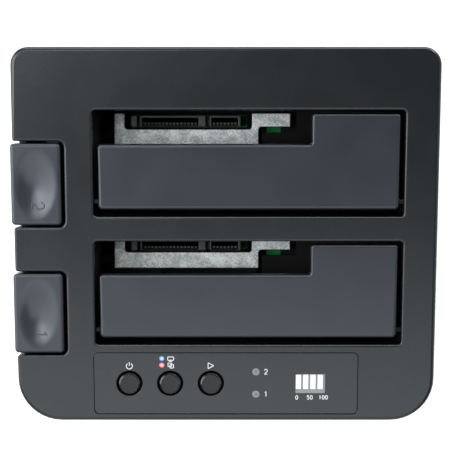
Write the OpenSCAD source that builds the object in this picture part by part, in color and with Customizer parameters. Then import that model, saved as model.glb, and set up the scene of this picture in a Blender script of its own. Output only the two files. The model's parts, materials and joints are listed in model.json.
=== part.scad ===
// Two-bay hard drive docking station with a sloping top, spring flaps, eject buttons and a control panel.
// Millimetres. X runs to the right, Y to the back, Z up.
// The origin is on the table, under the middle of the part's box.
// Bay 0 is the rear bay and bay 1 the front bay.

/* [Casing] */
// Height of the top edge at the back, above the table
rear_h = 64.4; // [62:0.2:70]
// Slope of the top, down towards the front, in degrees
top_slope = 9; // [7:0.5:10]
// Thickness of the side walls
wall = 2.4; // [2:0.1:2.8]
// Thickness of the top
top_t = 2.8; // [2.4:0.1:3.2]
// Thickness of the base floor
floor_t = 2.2; // [1.8:0.1:2.4]
// Radius of the two rear corners, seen from above
rear_corner_r = 6; // [4:0.5:8]
// Radius of the two front corners, seen from above
front_corner_r = 14.7; // [12:0.1:16]
// Rounding of the long top edges
edge_r = 1.2; // [0.6:0.1:1.8]
// Height of the parting line between base and cover
split_z = 22; // [21:0.5:25]
// Height of the inner lip that centres the cover on the base
lip_h = 2.5; // [1.5:0.5:3]
// Thickness of the inner lip
lip_t = 1.2; // [1:0.1:1.6]

/* [Feet and case screws] */
// Gap under the casing that the feet leave
foot_h = 1.6; // [1.2:0.1:2]
// Radius of a rubber foot
foot_r = 6; // [5:0.5:7]
// Depth of the pocket that holds a foot
foot_sink = 0.8; // [0.5:0.1:1]
// Distance of the case screws from the side faces
screw_in_x = 8.5; // [8:0.5:10]
// Distance of the case screws from the front and back faces
screw_in_y = 9; // [8.5:0.5:11]
// Radius of a case screw's shank
screw_r = 1.25; // [1:0.05:1.5]
// Radius of a case screw's head
screw_head_r = 2.7; // [2.4:0.1:2.9]

/* [Drive bays] */
// Space between the two drive wells
well_gap = 4.7; // [4:0.1:6]
// Space between an eject button's cut-out and the drive wells, for the rockers
rocker_room = 7.8; // [7.2:0.1:10]
// Space between the drive wells and the right wall
right_room = 7.3; // [6.6:0.1:10]
// Space between the rear drive well and the rear sockets
port_room = 1; // [0.6:0.1:3]
// Radius of a drive slot's corners
slot_corner_r = 1.2; // [0.6:0.1:1.6]
// Width of a drive slot
slot_w = 103; // [102.4:0.1:104]
// Depth of a drive slot, front to back
slot_d = 35.3; // [35:0.1:36]
// Thickness of the drive well's walls and floor
well_wall = 1.8; // [1.5:0.1:2.2]
// Height of the drive well's floor above the table
well_floor_z = 16; // [15.8:0.1:17]
// Gap between the floor opening and the end of the lift plate
well_open_gap = 2.1; // [1:0.1:3]
// Reach of the floor opening from the slot's back edge
well_open_d = 17; // [16:0.5:18]
// Gap between the floor opening and the lift plate's arm, in front of the arm
arm_open_gap = 1.9; // [1:0.1:3]

/* [Flaps] */
// Gap between flap and slot at the sides
flap_gap_side = 1.65; // [1.2:0.05:2]
// Gap between flap and slot at the back
flap_gap_back = 1.4; // [1.2:0.1:1.8]
// Gap between flap and slot at the front
flap_gap_front = 2.3; // [2:0.1:2.6]
// Depth of the flap's face below the casing's top
flap_sink = 0.4; // [0.2:0.1:0.8]
// Thickness of the flap
flap_t = 3; // [2.6:0.1:3.2]
// Width of the small-drive notch, from the slot's left edge
notch_w = 72.4; // [71:0.1:74]
// Reach of the small-drive notch, from the slot's back edge
notch_d = 11.6; // [11:0.1:12.4]
// Distance of the hinge from the slot's back edge
hinge_back = 30.4; // [30:0.1:30.8]
// Radius of the hinge pin
hinge_pin_r = 1; // [0.8:0.05:1.2]
// Radius of the flap's hinge barrel
barrel_r = 2.2; // [2:0.1:2.4]

/* [Eject buttons] */
// Width of an eject button, side to side
cap_w = 16.7; // [16:0.1:17.5]
// Length of an eject button, front to back
cap_len = 26.7; // [25:0.1:28]
// Distance of an eject button from the slot's back edge
cap_setback = 11.2; // [11:0.1:12.5]
// Reach of an eject button beyond the casing's left face
cap_proud = 0.8; // [0.4:0.1:1.2]
// Gap round an eject button
cap_gap = 1; // [0.8:0.1:1.3]
// Height of an eject button's side face
cap_skirt = 15; // [13:0.5:16]
// Depth of the finger dish
dish_depth = 1.7; // [1:0.1:2]
// Travel of an eject button, and of its lift plate
eject_travel = 5; // [4:0.1:5]

/* [Eject linkage] */
// Thickness of the lift plate
plate_t = 1.2; // [1:0.1:1.4]
// Depth of the lift plate's face below the well floor at rest
plate_sink = 0.2; // [0.1:0.1:0.4]
// Length of each rocker arm, from the pin to the nose
rocker_arm = 11; // [10.5:0.1:11.5]
// Thickness of the rocker
rocker_t = 3; // [2:0.1:3.4]
// Radius of a rocker nose
nose_r = 1.2; // [1:0.05:1.4]
// Radius of the rocker pin
rocker_pin_r = 1.25; // [1:0.05:1.4]
// Radius of the guide post in an eject button
post_r = 1.8; // [1.5:0.05:2]
// Wire thickness of the return spring
spring_wire = 0.8; // [0.6:0.05:0.9]
// Number of turns of the return spring
spring_turns = 6; // [4:1:8]

/* [Drive connectors] */
// Width of a drive connector
conn_w = 38.6; // [38:0.1:39.5]
// Thickness of a drive connector
conn_t = 4.4; // [4:0.1:4.5]
// Distance of the connector's middle from the slot's back edge
conn_back = 3.7; // [3.6:0.1:3.8]
// Distance of the connector's left end from the slot's left edge
conn_left = 10.6; // [10.4:0.1:10.8]
// Height of the connector's top above the table
conn_top_z = 20; // [19.5:0.1:21]
// Spacing of the connector's contacts
contact_pitch = 1.27; // [1.2:0.01:1.3]

/* [Control panel] */
// Width of the inset panel
panel_w = 89.1; // [88:0.1:92]
// Depth of the inset panel, along the slope
panel_d = 21.4; // [21:0.1:21.8]
// Thickness of the inset panel
panel_t = 1.5; // [1.2:0.1:1.6]
// Gap round the inset panel
panel_gap = 0.3; // [0.2:0.05:0.4]
// Gap between the front drive well and the panel
panel_back_gap = 1.1; // [0.9:0.1:2]
// Strip of casing between the panel and the front face
panel_front_strip = 2.46; // [2:0.02:4]
// Radius of a push button
button_r = 3.5; // [3.2:0.05:3.6]
// Gap round a push button
button_gap = 0.8; // [0.6:0.05:0.9]
// Height of a push button above the panel
button_proud = 0.5; // [0.3:0.1:0.7]
// Travel of a push button
button_travel = 0.6; // [0.3:0.1:0.7]
// Spacing of the push buttons
button_pitch = 13.8; // [13:0.1:14.5]
// Radius of a drive activity lens
drive_lens_r = 1.25; // [1:0.05:1.5]
// Radius of a mode lens
mode_lens_r = 0.9; // [0.7:0.05:1]
// Width of one progress bar segment
segment_w = 1.8; // [1.5:0.05:2]
// Spacing of the progress bar segments
segment_pitch = 2.46; // [2.3:0.02:2.5]

/* [Circuit boards] */
// Thickness of the circuit boards
pcb_t = 1.6; // [1.2:0.1:1.6]
// Height of the main board's underside above the table
pcb_z = 5; // [4.8:0.1:5.2]
// Depth of the control board's face below the casing's top
control_depth = 9; // [8.8:0.1:10]

/* [Hidden] */
$fn = 64;

// Clearances
run_gap = 0.05;    // pin in a turning or sliding bore, on the radius
seat_gap = 0.02;   // pin or screw in the hole that holds it, on the radius
touch_gap = 0.25;  // between linkage pieces that push each other
side_gap = 0.3;    // beside a moving piece
over = 1;          // how far a cutting shape runs past a face
far = 300;         // larger than the whole casing

// Colours
black_abs = [0.16, 0.165, 0.175];
dark_abs = [0.07, 0.07, 0.075];
board_green = [0.05, 0.30, 0.14];
zinc = [0.66, 0.69, 0.70];
steel = [0.72, 0.72, 0.74];

// Casing
port_sink = 0.2;   // sockets behind the back face
usb_len = 17.6;
left_strip = cap_w - cap_proud + cap_gap + rocker_room + well_wall;
right_strip = well_wall + right_room + wall;
slot_setback = port_sink + usb_len + port_room + well_wall;
bay_pitch = slot_d + 2 * well_wall + well_gap;
panel_back_strip = well_wall + panel_back_gap;
front_strip = panel_back_strip + panel_d * cos(top_slope) + panel_front_strip;
body_w = left_strip + slot_w + right_strip;
body_d = slot_setback + bay_pitch + slot_d + front_strip;
half_w = body_w / 2;
half_d = body_d / 2;
base_z = foot_h;
floor_top = base_z + floor_t;
lip_gap = 0.15;
lip_in = wall + lip_gap + lip_t;
function top_z(y) = rear_h - (half_d - y) * tan(top_slope);

// Case screws stand on pads of the base and hold the cover's bosses
pad_top = floor_top + 3.2;
pad_r = screw_head_r + 1.5;
boss_r = screw_r + 1.95;
screw_head_h = 2;
head_seat_z = base_z + 3;
boss_hole_top = pad_top + 12;
screw_at = [half_w - screw_in_x, half_d - screw_in_y];
foot_from_screw = [12.5, 6];
foot_at = screw_at - foot_from_screw;
case_screw_spots = [for (sx = [-1, 1], sy = [-1, 1]) [sx * screw_at[0], sy * screw_at[1]]];
foot_spots = [for (sx = [-1, 1], sy = [-1, 1]) [sx * foot_at[0], sy * foot_at[1]]];

// Drive bays
slot_left = -half_w + left_strip;
slot_right = half_w - right_strip;
slot_mid = (slot_left + slot_right) / 2;
function slot_back(bay) = half_d - slot_setback - bay * bay_pitch;
function slot_front(bay) = slot_back(bay) - slot_d;
well_floor_under = well_floor_z - 2;
lug_r = 2.6;
lug_t = 2.4;
lug_drop = 6;                       // length of the cover's bosses above the lugs
lug_screw_r = 1;
lug_left_x = slot_left - well_wall - lug_r - 0.4;
lug_right_x = slot_right + well_wall + lug_r + 0.4;
lug_left_back = hinge_back;         // lugs' distance from the slot's back edge
lug_right_back = 14;
function lug_spots(bay) =
  [[lug_left_x, slot_back(bay) - lug_left_back], [lug_right_x, slot_back(bay) - lug_right_back]];
function under_z(y) = top_z(y) - top_t / cos(top_slope);
function lug_top(y) = under_z(y) - lug_drop;

// Flaps
flap_left = slot_left + flap_gap_side;
flap_right = slot_right - flap_gap_side;
notch_right = slot_left + notch_w;
axis_drop = flap_t;                 // hinge axis below the flap's face
function hinge_y(bay) = slot_back(bay) - hinge_back;
function hinge_z(bay) = top_z(hinge_y(bay)) - (flap_sink + axis_drop) / cos(top_slope);
function flap_reach(from_back) = ((hinge_back - from_back) + axis_drop * sin(top_slope)) / cos(top_slope);
flap_back_y = flap_reach(flap_gap_back);
flap_notch_y = flap_reach(notch_d);
flap_front_y = flap_reach(slot_d - flap_gap_front);
notch_fillet = 1.2;
rib_h = 2;
rib_t = 1.6;
coil_x = flap_left + 8;             // middle of the flap spring
coil_len = 5;
coil_wire = 0.5;
coil_r = hinge_pin_r + 0.2 + coil_wire / 2;
coil_turns = 6;
coil_room = 1.2;
coil_skin = 0.9;                    // flap left above the spring

// Eject buttons
cap_left = -half_w - cap_proud;
cap_right = cap_left + cap_w;
cap_corner_r = 1.3;
cap_wall = 1.8;
cap_top_t = dish_depth + 1.7;
function cap_back(bay) = slot_back(bay) - cap_setback;
function cap_front(bay) = cap_back(bay) - cap_len;
function cap_mid(bay) = (cap_back(bay) + cap_front(bay)) / 2;
function cap_bottom(bay) = top_z(cap_mid(bay)) - cap_skirt;
cut_depth = cap_skirt + eject_travel + 0.8;
cut_right = cap_right + cap_gap;
cut_corner_r = 2.3;
shroud_left = -half_w + lip_in + 0.4;
shroud_right = cap_right - 1.4;
shroud_in = 1.5;
shroud_t = 1.4;
shroud_drop = eject_travel + 4;
shroud_up = 5;
dish_tube_r = 15;
dish_ring_r = 40;
dish_x = (cap_left + cap_right) / 2;

// Eject linkage, from the lift plate's underside down to the base
pcb_top = pcb_z + pcb_t;
plate_top = well_floor_z - plate_sink;
plate_under = plate_top - plate_t;
rocker_swing = asin(eject_travel / 2 / rocker_arm);
rocker_x = slot_left - well_wall - 2.7;
rocker_z = plate_under - touch_gap - nose_r + eject_travel / 2;
rocker_back = 8.5;                  // rocker's middle from the slot's back edge
rocker_hub_r = rocker_pin_r + 1.35;
ear_t = 1.6;
foot_x = rocker_x - rocker_arm * cos(rocker_swing);
foot_z = rocker_z + eject_travel / 2 + nose_r + touch_gap;
foot_left = foot_x - 3.5;
foot_right = foot_x + 0.8;   // short of the arm that rises beside it
foot_t = 4;
leg_back = cap_setback + cap_wall;
leg_len = 5;
post_x = cap_left + 9.3;
post_back = cap_setback + cap_len / 2;
pillar_r = post_r + 2.2;
pillar_z = foot_z + 4.4;
post_boss_z = floor_top + 6.2;
post_top = pillar_z + 10;
pillar_bore_top = post_top + eject_travel + 1.5;
spring_r = post_r + 0.3 + spring_wire / 2;

// Lift plate, measured from the slot's back edge; its legs go round the drive connector
conn_x = slot_left + conn_left + conn_w / 2;
plate_back = 0.7;
plate_leg_w = 3.85;
plate_cut_left = conn_x - conn_w / 2 - 2.35;
plate_cut_right = conn_x + conn_w / 2 + 3.95;
plate_left = plate_cut_left - plate_leg_w;
plate_riser_w = 2.45;
plate_riser_right = plate_cut_right + plate_riser_w;
plate_arm_right = plate_cut_right + 13.65;
plate_arm_d = 4.85;
plate_arm_front = plate_back + plate_arm_d;
well_open_right = plate_arm_right + well_open_gap;
well_open_step = plate_riser_right + well_open_gap / 2;
plate_cut_d = conn_back + conn_t / 2 + 0.4;
plate_bar_d = 5.75;
plate_front = plate_cut_d + plate_bar_d;
plate_fillet = 1;
tab_w = 6;
tab_spots = [plate_left + 11.6, plate_cut_right - 3.15];
tab_bottom = pcb_top + 0.4;
sleeve_w = tab_w + 4;
sleeve_bottom = pcb_top + 1.2;
sleeve_top = plate_under - 0.4;
tab_gap = 0.15;

// Drive connectors
power_w = 21.2;
signal_w = 10.7;
conn_end = 2.2;
mouth_t = 2.6;
mouth_depth = 6.5;
power_x = conn_x - conn_w / 2 + conn_end + 1 + power_w / 2;
signal_x = conn_x + conn_w / 2 - 0.3 - signal_w / 2;
contact_w = 0.6;
contact_t = 0.35;

// Control panel: x and along-slope places from the panel's middle
panel_y = slot_front(1) - panel_back_strip - panel_d / 2 * cos(top_slope);
panel_corner_r = 1.5;
button_in = 11.85;
lens_from_button = 15.25;
frame_in = 16;
button_first = -panel_w / 2 + button_in;
button_spots = [for (i = [0, 1, 2]) [button_first + i * button_pitch, 0.1]];
button_hole_r = button_r + button_gap;
button_flange_r = button_hole_r + 0.9;
button_flange_t = 1;
flange_top = -top_t - 0.1;
plunger_r = 1.7;
plunger_top = flange_top - 2;
switch_w = 6;
switch_top = plunger_top - button_travel - 0.2;
mode_x = button_spots[1][0] - 2.8;
mode_spots = [[mode_x, panel_d / 2 - 1.9], [mode_x, panel_d / 2 - 4.2]];
drive_lens_x = button_spots[2][0] + lens_from_button;
drive_lens_spots = [[drive_lens_x, 4.1], [drive_lens_x, -3.8]];
lens_collar = 0.7;
mode_collar = 0.1;
lens_collar_t = 0.8;
led_w = 0.8;
led_d = 1.6;
led_h = 0.7;
lens_bottom = -control_depth + led_h + 0.2;
frame_w = 10.1;
frame_d = 6.8;
frame_spot = [panel_w / 2 - frame_in, -0.15];
frame_sink = 0.3;
frame_lip = 1.2;
segment_d = 5.1;
segment_start = [-frame_w / 2 + 0.15 + segment_w / 2, (frame_d - segment_d) / 2 - 0.15];
segment_sink = 0.15;
control_w = panel_w - 4;
control_d = panel_d - 4;
control_in = 2.6;
control_screws = [[-control_w / 2 + control_in, -control_d / 2 + control_in + 0.6],
  [button_spots[2][0] + 7.5, -control_d / 2 + control_in],
  [control_w / 2 - control_in, control_d / 2 - control_in - 0.6]];
control_boss_r = 2.4;
board_hole_r = 1.2;
board_screw_r = 1;
board_head_r = 2;

// Main board
pcb_left = cut_right + 1.6;
pcb_right = half_w - screw_in_x - pad_r - 0.8;
pcb_front = -half_d + wall + 3.6;
pcb_back = half_d - wall - 1.1;
standoff_r = 3;
standoff_in = 5;
standoff_spots = [for (x = [pcb_left + standoff_in, pcb_right - standoff_in],
  y = [pcb_front + standoff_in, pcb_back - standoff_in - 3]) [x, y]];
usb_x = 12;
usb_w = 12;
usb_h = 12.8;
usb_wall = 0.5;
jack_x = 34;
jack_w = 9;
jack_h = 11;
jack_len = 14;
jack_bore_r = 3.2;
jack_pin_r = 1.05;
jack_pin_sink = 1;
jack_pin_len = 8.5;
jack_neck = 0.5;
jack_root_r = 1.5;
jack_root_len = 3;
port_gap = 0.3;
port_face = half_d - port_sink;
jack_z = pcb_top + 6.3;
chip_w = 14;
small_chip_w = 10;
chip_h = 1.4;
chip_in = 24;
chip_x = slot_right - chip_in;
chip_back = 22;
lead_pitch = 1.1;
lead_w = 0.4;
lead_len = 1.2;
lead_h = 0.5;
can_r = 4;
can_h = 11;
can_pitch = 10;
can_in = 14;
can_first = slot_left + can_in;
coil_box_w = 8;
coil_box_h = 4.2;
coil_box_pitch = 12;
coil_box_in = 22;
coil_box_first = slot_right - coil_box_in;
ribbon_w = 14;
ribbon_t = 0.5;
ribbon_x = 20;
socket_w = ribbon_w + 3;
socket_d = 4.5;
socket_h = 3.6;
ribbon_y = panel_y + 1.5;

// Shapes used by several pieces

// The eject buttons stand out on the left, so the part moves right by half of that to centre its box
module centred() {
  translate([cap_proud / 2, 0, 0]) children();
}

module on_top(x, y) {
  translate([x, y, top_z(y)]) rotate([top_slope, 0, 0]) children();
}

module on_panel(spot, z = 0) {
  on_top(0, panel_y) translate([spot[0], spot[1], z]) children();
}

module under_top(depth) {
  on_top(0, half_d) translate([-far, -2 * far, -depth - far]) cube([2 * far, 3 * far, far]);
}

// Space above a plane that lies straight below the top by a depth
module above_depth(depth) {
  translate([0, 0, -depth]) on_top(0, half_d) translate([-far, -2 * far, 0]) cube([2 * far, 3 * far, far]);
}

module at_hinge(bay) {
  translate([0, hinge_y(bay), hinge_z(bay)]) rotate([top_slope, 0, 0]) children();
}

module rounded_rect(w, d, r) {
  square([w - 2 * r, d], center = true);
  square([w, d - 2 * r], center = true);
  for (sx = [-1, 1], sy = [-1, 1]) translate([sx * (w / 2 - r), sy * (d / 2 - r)]) circle(r);
}

module box_span(x0, x1, y0, y1, z0, z1) {
  translate([x0, y0, z0]) cube([x1 - x0, y1 - y0, z1 - z0]);
}

// Outline of the casing seen from above, drawn in by a distance
module plan(inset = 0) {
  rf = front_corner_r - inset;
  rb = max(rear_corner_r - inset, 0.5);
  hw = half_w - inset;
  hd = half_d - inset;
  translate([-hw, -hd + rf]) square([2 * hw, 2 * hd - rf - rb]);
  translate([-hw + rf, -hd]) square([2 * (hw - rf), 2 * hd]);
  translate([-hw + rb, hd - 2 * rf]) square([2 * (hw - rb), 2 * rf]);
  for (sx = [-1, 1]) {
    translate([sx * (hw - rf), -hd + rf]) circle(rf);
    translate([sx * (hw - rb), hd - rb]) circle(rb);
  }
}

// Casing seen from the side, with its two top edges rounded
module side_profile() {
  yb = half_d - edge_r;
  yf = -half_d + edge_r;
  zb = top_z(yb) - edge_r / cos(top_slope);
  zf = top_z(yf) - edge_r / cos(top_slope);
  up = [-edge_r * sin(top_slope), edge_r * cos(top_slope)];
  polygon([[-half_d, 0], [half_d, 0], [half_d, zb], [yb, zb] + up, [yf, zf] + up, [-half_d, zf]]);
  translate([yb, zb]) circle(edge_r);
  translate([yf, zf]) circle(edge_r);
}

// Casing seen from the front along the slope, with its two top edges rounded
module front_profile() {
  translate([-half_w, -far]) square([body_w, far - edge_r]);
  translate([-half_w + edge_r, -far]) square([body_w - 2 * edge_r, far]);
  for (sx = [-1, 1]) translate([sx * (half_w - edge_r), -edge_r]) circle(edge_r);
}

// Smooth tube along a list of points; ref is a direction that the path never runs along
function unit(v) = v / norm(v);
function path_dir(p, i) = unit(p[min(i + 1, len(p) - 1)] - p[max(i - 1, 0)]);
function ring(p, i, r, ref, sides) =
  let (t = path_dir(p, i), u = unit(cross(ref, t)), v = cross(t, u))
  [for (k = [0:sides - 1]) p[i] + r * (cos(360 * k / sides) * u + sin(360 * k / sides) * v)];

module tube(p, r, ref, sides = 6) {
  n = len(p);
  points = [for (i = [0:n - 1]) each ring(p, i, r, ref, sides)];
  side_faces = [for (i = [0:n - 2], k = [0:sides - 1])
    let (a = i * sides + k, b = i * sides + (k + 1) % sides)
    each [[a, b, b + sides], [a, b + sides, a + sides]]];
  first_cap = [for (k = [1:sides - 2]) [0, k + 1, k]];
  last_cap = [for (k = [1:sides - 2]) [(n - 1) * sides, (n - 1) * sides + k, (n - 1) * sides + k + 1]];
  polyhedron(points = points, faces = concat(side_faces, first_cap, last_cap));
}

module screw(shank_r, shank_len, head_r, head_h) {
  cylinder(r = shank_r, h = shank_len);
  difference() {
    translate([0, 0, -head_h]) cylinder(r = head_r, h = head_h);
    for (a = [0, 90]) rotate(a) translate([-head_r * 0.6, -head_r * 0.12, -head_h - over])
      cube([head_r * 1.2, head_r * 0.24, over + head_h * 0.5]);
  }
}

// Casing

module case_block(z0) {
  intersection() {
    translate([0, 0, z0]) linear_extrude(rear_h + over - z0) plan();
    rotate([90, 0, 90]) translate([0, 0, -far]) linear_extrude(2 * far) side_profile();
    on_top(0, half_d) rotate([90, 0, 0]) translate([0, 0, -far]) linear_extrude(2 * far) front_profile();
  }
}

module button_cut(bay) {
  w = cut_right + half_w + over + cut_corner_r;
  d = cap_len + 2 * cap_gap;
  intersection() {
    translate([cut_right - w / 2, cap_mid(bay), 0]) linear_extrude(far) rounded_rect(w, d, cut_corner_r);
    above_depth(cut_depth);
  }
}

module top_cover() {
  color(black_abs) difference() {
    union() {
      difference() {
        case_block(split_z);
        intersection() {
          translate([0, 0, split_z - over]) linear_extrude(rear_h) plan(wall);
          under_top(top_t);
        }
      }
      intersection() {
        union() {
          for (s = case_screw_spots) translate([s[0], s[1], pad_top]) cylinder(r = boss_r, h = rear_h);
          for (bay = [0, 1], s = lug_spots(bay))
            translate([s[0], s[1], lug_top(s[1])]) cylinder(r = lug_r - 0.3, h = lug_drop + top_t);
          for (s = control_screws) on_panel(s, -control_depth)
            cylinder(r = control_boss_r, h = control_depth);
        }
        under_top(top_t / 2);
      }
    }
    for (bay = [0, 1]) {
      translate([slot_mid, (slot_front(bay) + slot_back(bay)) / 2, lug_top(slot_front(bay)) + over])
        linear_extrude(rear_h) rounded_rect(slot_w, slot_d, slot_corner_r);
      button_cut(bay);
      translate([slot_left - well_wall - seat_gap, hinge_y(bay), hinge_z(bay)]) rotate([0, 90, 0])
        cylinder(r = hinge_pin_r + seat_gap, h = slot_w + 2 * (well_wall + seat_gap));
      for (s = lug_spots(bay)) translate([s[0], s[1], lug_top(s[1]) - over])
        cylinder(r = lug_screw_r + seat_gap, h = lug_drop + over);
    }
    for (s = case_screw_spots) translate([s[0], s[1], pad_top - over])
      cylinder(r = screw_r + seat_gap, h = boss_hole_top - pad_top + over);
    on_panel([0, 0], -panel_t) linear_extrude(panel_t + over)
      rounded_rect(panel_w + 2 * panel_gap, panel_d + 2 * panel_gap, panel_corner_r + panel_gap);
    for (s = button_spots) on_panel(s, -top_t - over) cylinder(r = button_hole_r + 0.3, h = top_t + 2 * over);
    for (s = mode_spots) on_panel(s, -top_t - over)
      cylinder(r = mode_lens_r + mode_collar + seat_gap, h = top_t + 2 * over);
    for (s = drive_lens_spots) on_panel(s, -top_t - over)
      cylinder(r = drive_lens_r + lens_collar + 0.1, h = top_t + 2 * over);
    on_panel(frame_spot, -top_t - over) linear_extrude(top_t + 2 * over)
      square([frame_w + 2 * frame_lip + 0.2, frame_d + 2 * frame_lip + 0.2], center = true);
    for (s = control_screws) on_panel(s, -control_depth - over)
      cylinder(r = board_screw_r + seat_gap, h = control_depth - top_t + over);
  }
}

module usb_outline(grow = 0) {
  translate([-usb_w / 2 - grow, -grow]) square([usb_w + 2 * grow, usb_h + 2 * grow]);
}

module base_tray() {
  color(black_abs) difference() {
    union() {
      difference() {
        union() {
          translate([0, 0, base_z]) linear_extrude(split_z - base_z) plan();
          translate([0, 0, split_z]) linear_extrude(lip_h) plan(wall + lip_gap);
        }
        translate([0, 0, floor_top]) linear_extrude(split_z - lip_h - floor_top) plan(wall);
        translate([0, 0, floor_top]) linear_extrude(split_z) plan(lip_in);
      }
      for (s = case_screw_spots) translate([s[0], s[1], base_z]) cylinder(r = pad_r, h = pad_top - base_z);
      for (s = standoff_spots) translate([s[0], s[1], base_z]) cylinder(r = standoff_r, h = pcb_z - base_z);
      for (bay = [0, 1]) translate([post_x, slot_back(bay) - post_back, base_z])
        cylinder(r = pillar_r, h = post_boss_z - base_z);
    }
    for (s = case_screw_spots) translate([s[0], s[1], pad_top]) cylinder(r = boss_r + side_gap, h = far);
    for (s = case_screw_spots) translate([s[0], s[1], 0]) {
      cylinder(r = screw_r + 0.4, h = pad_top + over);
      cylinder(r = screw_head_r + 0.3, h = head_seat_z);
    }
    for (s = standoff_spots) translate([s[0], s[1], floor_top - 1])
      cylinder(r = board_screw_r + seat_gap, h = pcb_z);
    for (bay = [0, 1]) translate([post_x, slot_back(bay) - post_back, floor_top])
      cylinder(r = post_r + seat_gap, h = post_boss_z);
    for (s = foot_spots) translate([s[0], s[1], base_z - over])
      cylinder(r = foot_r + 0.1, h = foot_sink + over);
    translate([usb_x, half_d - 2 * wall - lip_in, pcb_top]) rotate([90, 0, 180])
      linear_extrude(3 * wall + lip_in) usb_outline(port_gap);
    translate([jack_x - jack_w / 2 - port_gap, half_d - 2 * wall - lip_in, pcb_top - port_gap])
      cube([jack_w + 2 * port_gap, 3 * wall + lip_in, jack_h + 2 * port_gap]);
  }
}

module rubber_feet() {
  color(dark_abs) for (s = foot_spots) translate([s[0], s[1], 0]) {
    cylinder(r1 = foot_r - 0.6, r2 = foot_r, h = 0.6);
    translate([0, 0, 0.6]) cylinder(r = foot_r, h = base_z + foot_sink - 0.6);
  }
}

module case_screws() {
  color(steel) for (s = case_screw_spots) translate([s[0], s[1], head_seat_z])
    screw(screw_r, boss_hole_top - head_seat_z - 1, screw_head_r, screw_head_h);
}

// Control panel

module control_panel() {
  color(black_abs) on_panel([0, 0], -panel_t) difference() {
    linear_extrude(panel_t) rounded_rect(panel_w, panel_d, panel_corner_r);
    for (s = button_spots) translate([s[0], s[1], -over]) cylinder(r = button_hole_r, h = panel_t + 2 * over);
    for (s = mode_spots) translate([s[0], s[1], -over])
      cylinder(r = mode_lens_r + seat_gap, h = panel_t + 2 * over);
    for (s = drive_lens_spots) translate([s[0], s[1], -over])
      cylinder(r = drive_lens_r + seat_gap, h = panel_t + 2 * over);
    translate([frame_spot[0], frame_spot[1], -over]) linear_extrude(panel_t + 2 * over)
      square([frame_w + 0.1, frame_d + 0.1], center = true);
  }
}

module push_button(i) {
  color(dark_abs) on_panel(button_spots[i]) {
    translate([0, 0, flange_top - button_flange_t]) cylinder(r = button_flange_r, h = button_flange_t);
    translate([0, 0, flange_top]) cylinder(r = button_r, h = button_proud - 0.4 - flange_top);
    translate([0, 0, button_proud - 0.4]) cylinder(r1 = button_r, r2 = button_r - 0.4, h = 0.4);
    translate([0, 0, plunger_top]) cylinder(r = plunger_r, h = flange_top - plunger_top);
  }
}

module plunger(i) {
  color([0.85, 0.83, 0.78]) on_panel(button_spots[i], switch_top - 0.8)
    cylinder(r = plunger_r, h = plunger_top - switch_top + 0.8);
}

module tact_switches() {
  color([0.1, 0.1, 0.1]) for (s = button_spots) on_panel(s, -control_depth) difference() {
    translate([-switch_w / 2, -switch_w / 2, 0]) cube([switch_w, switch_w, switch_top + control_depth]);
    translate([0, 0, switch_top + control_depth - 0.8 - button_travel - 0.2])
      cylinder(r = plunger_r + run_gap, h = control_depth);
  }
}

module light_pipe(spot, r, collar, tint) {
  color(tint) on_panel(spot) {
    translate([0, 0, lens_bottom]) cylinder(r = r, h = -lens_bottom);
    translate([0, 0, -panel_t - lens_collar_t]) cylinder(r = r + collar, h = lens_collar_t);
  }
}

module mode_lens(i, tint) {
  light_pipe(mode_spots[i], mode_lens_r, mode_collar, tint);
}

module drive_lens(i) {
  light_pipe(drive_lens_spots[i], drive_lens_r, lens_collar, [0.55, 0.56, 0.57]);
}

module progress_frame() {
  color([0.52, 0.54, 0.56]) on_panel(frame_spot) difference() {
    union() {
      translate([0, 0, -top_t]) linear_extrude(top_t - frame_sink) square([frame_w, frame_d], center = true);
      translate([0, 0, -top_t]) linear_extrude(top_t - panel_t)
        square([frame_w + 2 * frame_lip, frame_d + 2 * frame_lip], center = true);
    }
    for (i = [0:3]) translate([segment_start[0] + i * segment_pitch, segment_start[1], -top_t - over])
      linear_extrude(top_t + over) square([segment_w + 0.1, segment_d + 0.1], center = true);
  }
}

module progress_segments() {
  color([0.93, 0.95, 0.95]) for (i = [0:3])
    on_panel(frame_spot + segment_start + [i * segment_pitch, 0], lens_bottom)
      linear_extrude(-lens_bottom - segment_sink) square([segment_w, segment_d], center = true);
}

module indicator_leds() {
  segment_spots = [for (i = [0:3]) frame_spot + segment_start + [i * segment_pitch, 0]];
  color([0.95, 0.95, 0.85]) for (s = concat(mode_spots, drive_lens_spots, segment_spots))
    on_panel(s, -control_depth) linear_extrude(led_h) square([led_w, led_d], center = true);
}

module control_board() {
  color(board_green) on_panel([0, 0], -control_depth - pcb_t) difference() {
    linear_extrude(pcb_t) square([control_w, control_d], center = true);
    for (s = control_screws) translate([s[0], s[1], -over]) cylinder(r = board_hole_r, h = pcb_t + 2 * over);
  }
}

module control_board_screws() {
  color(steel) for (s = control_screws) on_panel(s, -control_depth - pcb_t)
    screw(board_screw_r, pcb_t + control_depth - top_t - 1, board_head_r, 1.2);
}

// Ribbon between the two boards: an S from the lower socket to the upper one
ribbon_low = [ribbon_y, pcb_top + socket_h];
ribbon_high_drop = control_depth + pcb_t + socket_h;
ribbon_high = [ribbon_y + ribbon_high_drop * sin(top_slope),
  top_z(ribbon_y) - ribbon_high_drop * cos(top_slope)];
ribbon_pull = 8;
function bezier(a, b, c, d, t) =
  pow(1 - t, 3) * a + 3 * t * pow(1 - t, 2) * b + 3 * t * t * (1 - t) * c + pow(t, 3) * d;
ribbon_line = [for (i = [0:12]) bezier(ribbon_low, ribbon_low + [0, ribbon_pull],
  ribbon_high + ribbon_pull * [sin(top_slope), -cos(top_slope)], ribbon_high, i / 12)];
function ribbon_side(i, s) =
  let (t = unit(ribbon_line[min(i + 1, 12)] - ribbon_line[max(i - 1, 0)]))
  ribbon_line[i] + s * ribbon_t / 2 * [t[1], -t[0]];

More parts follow.
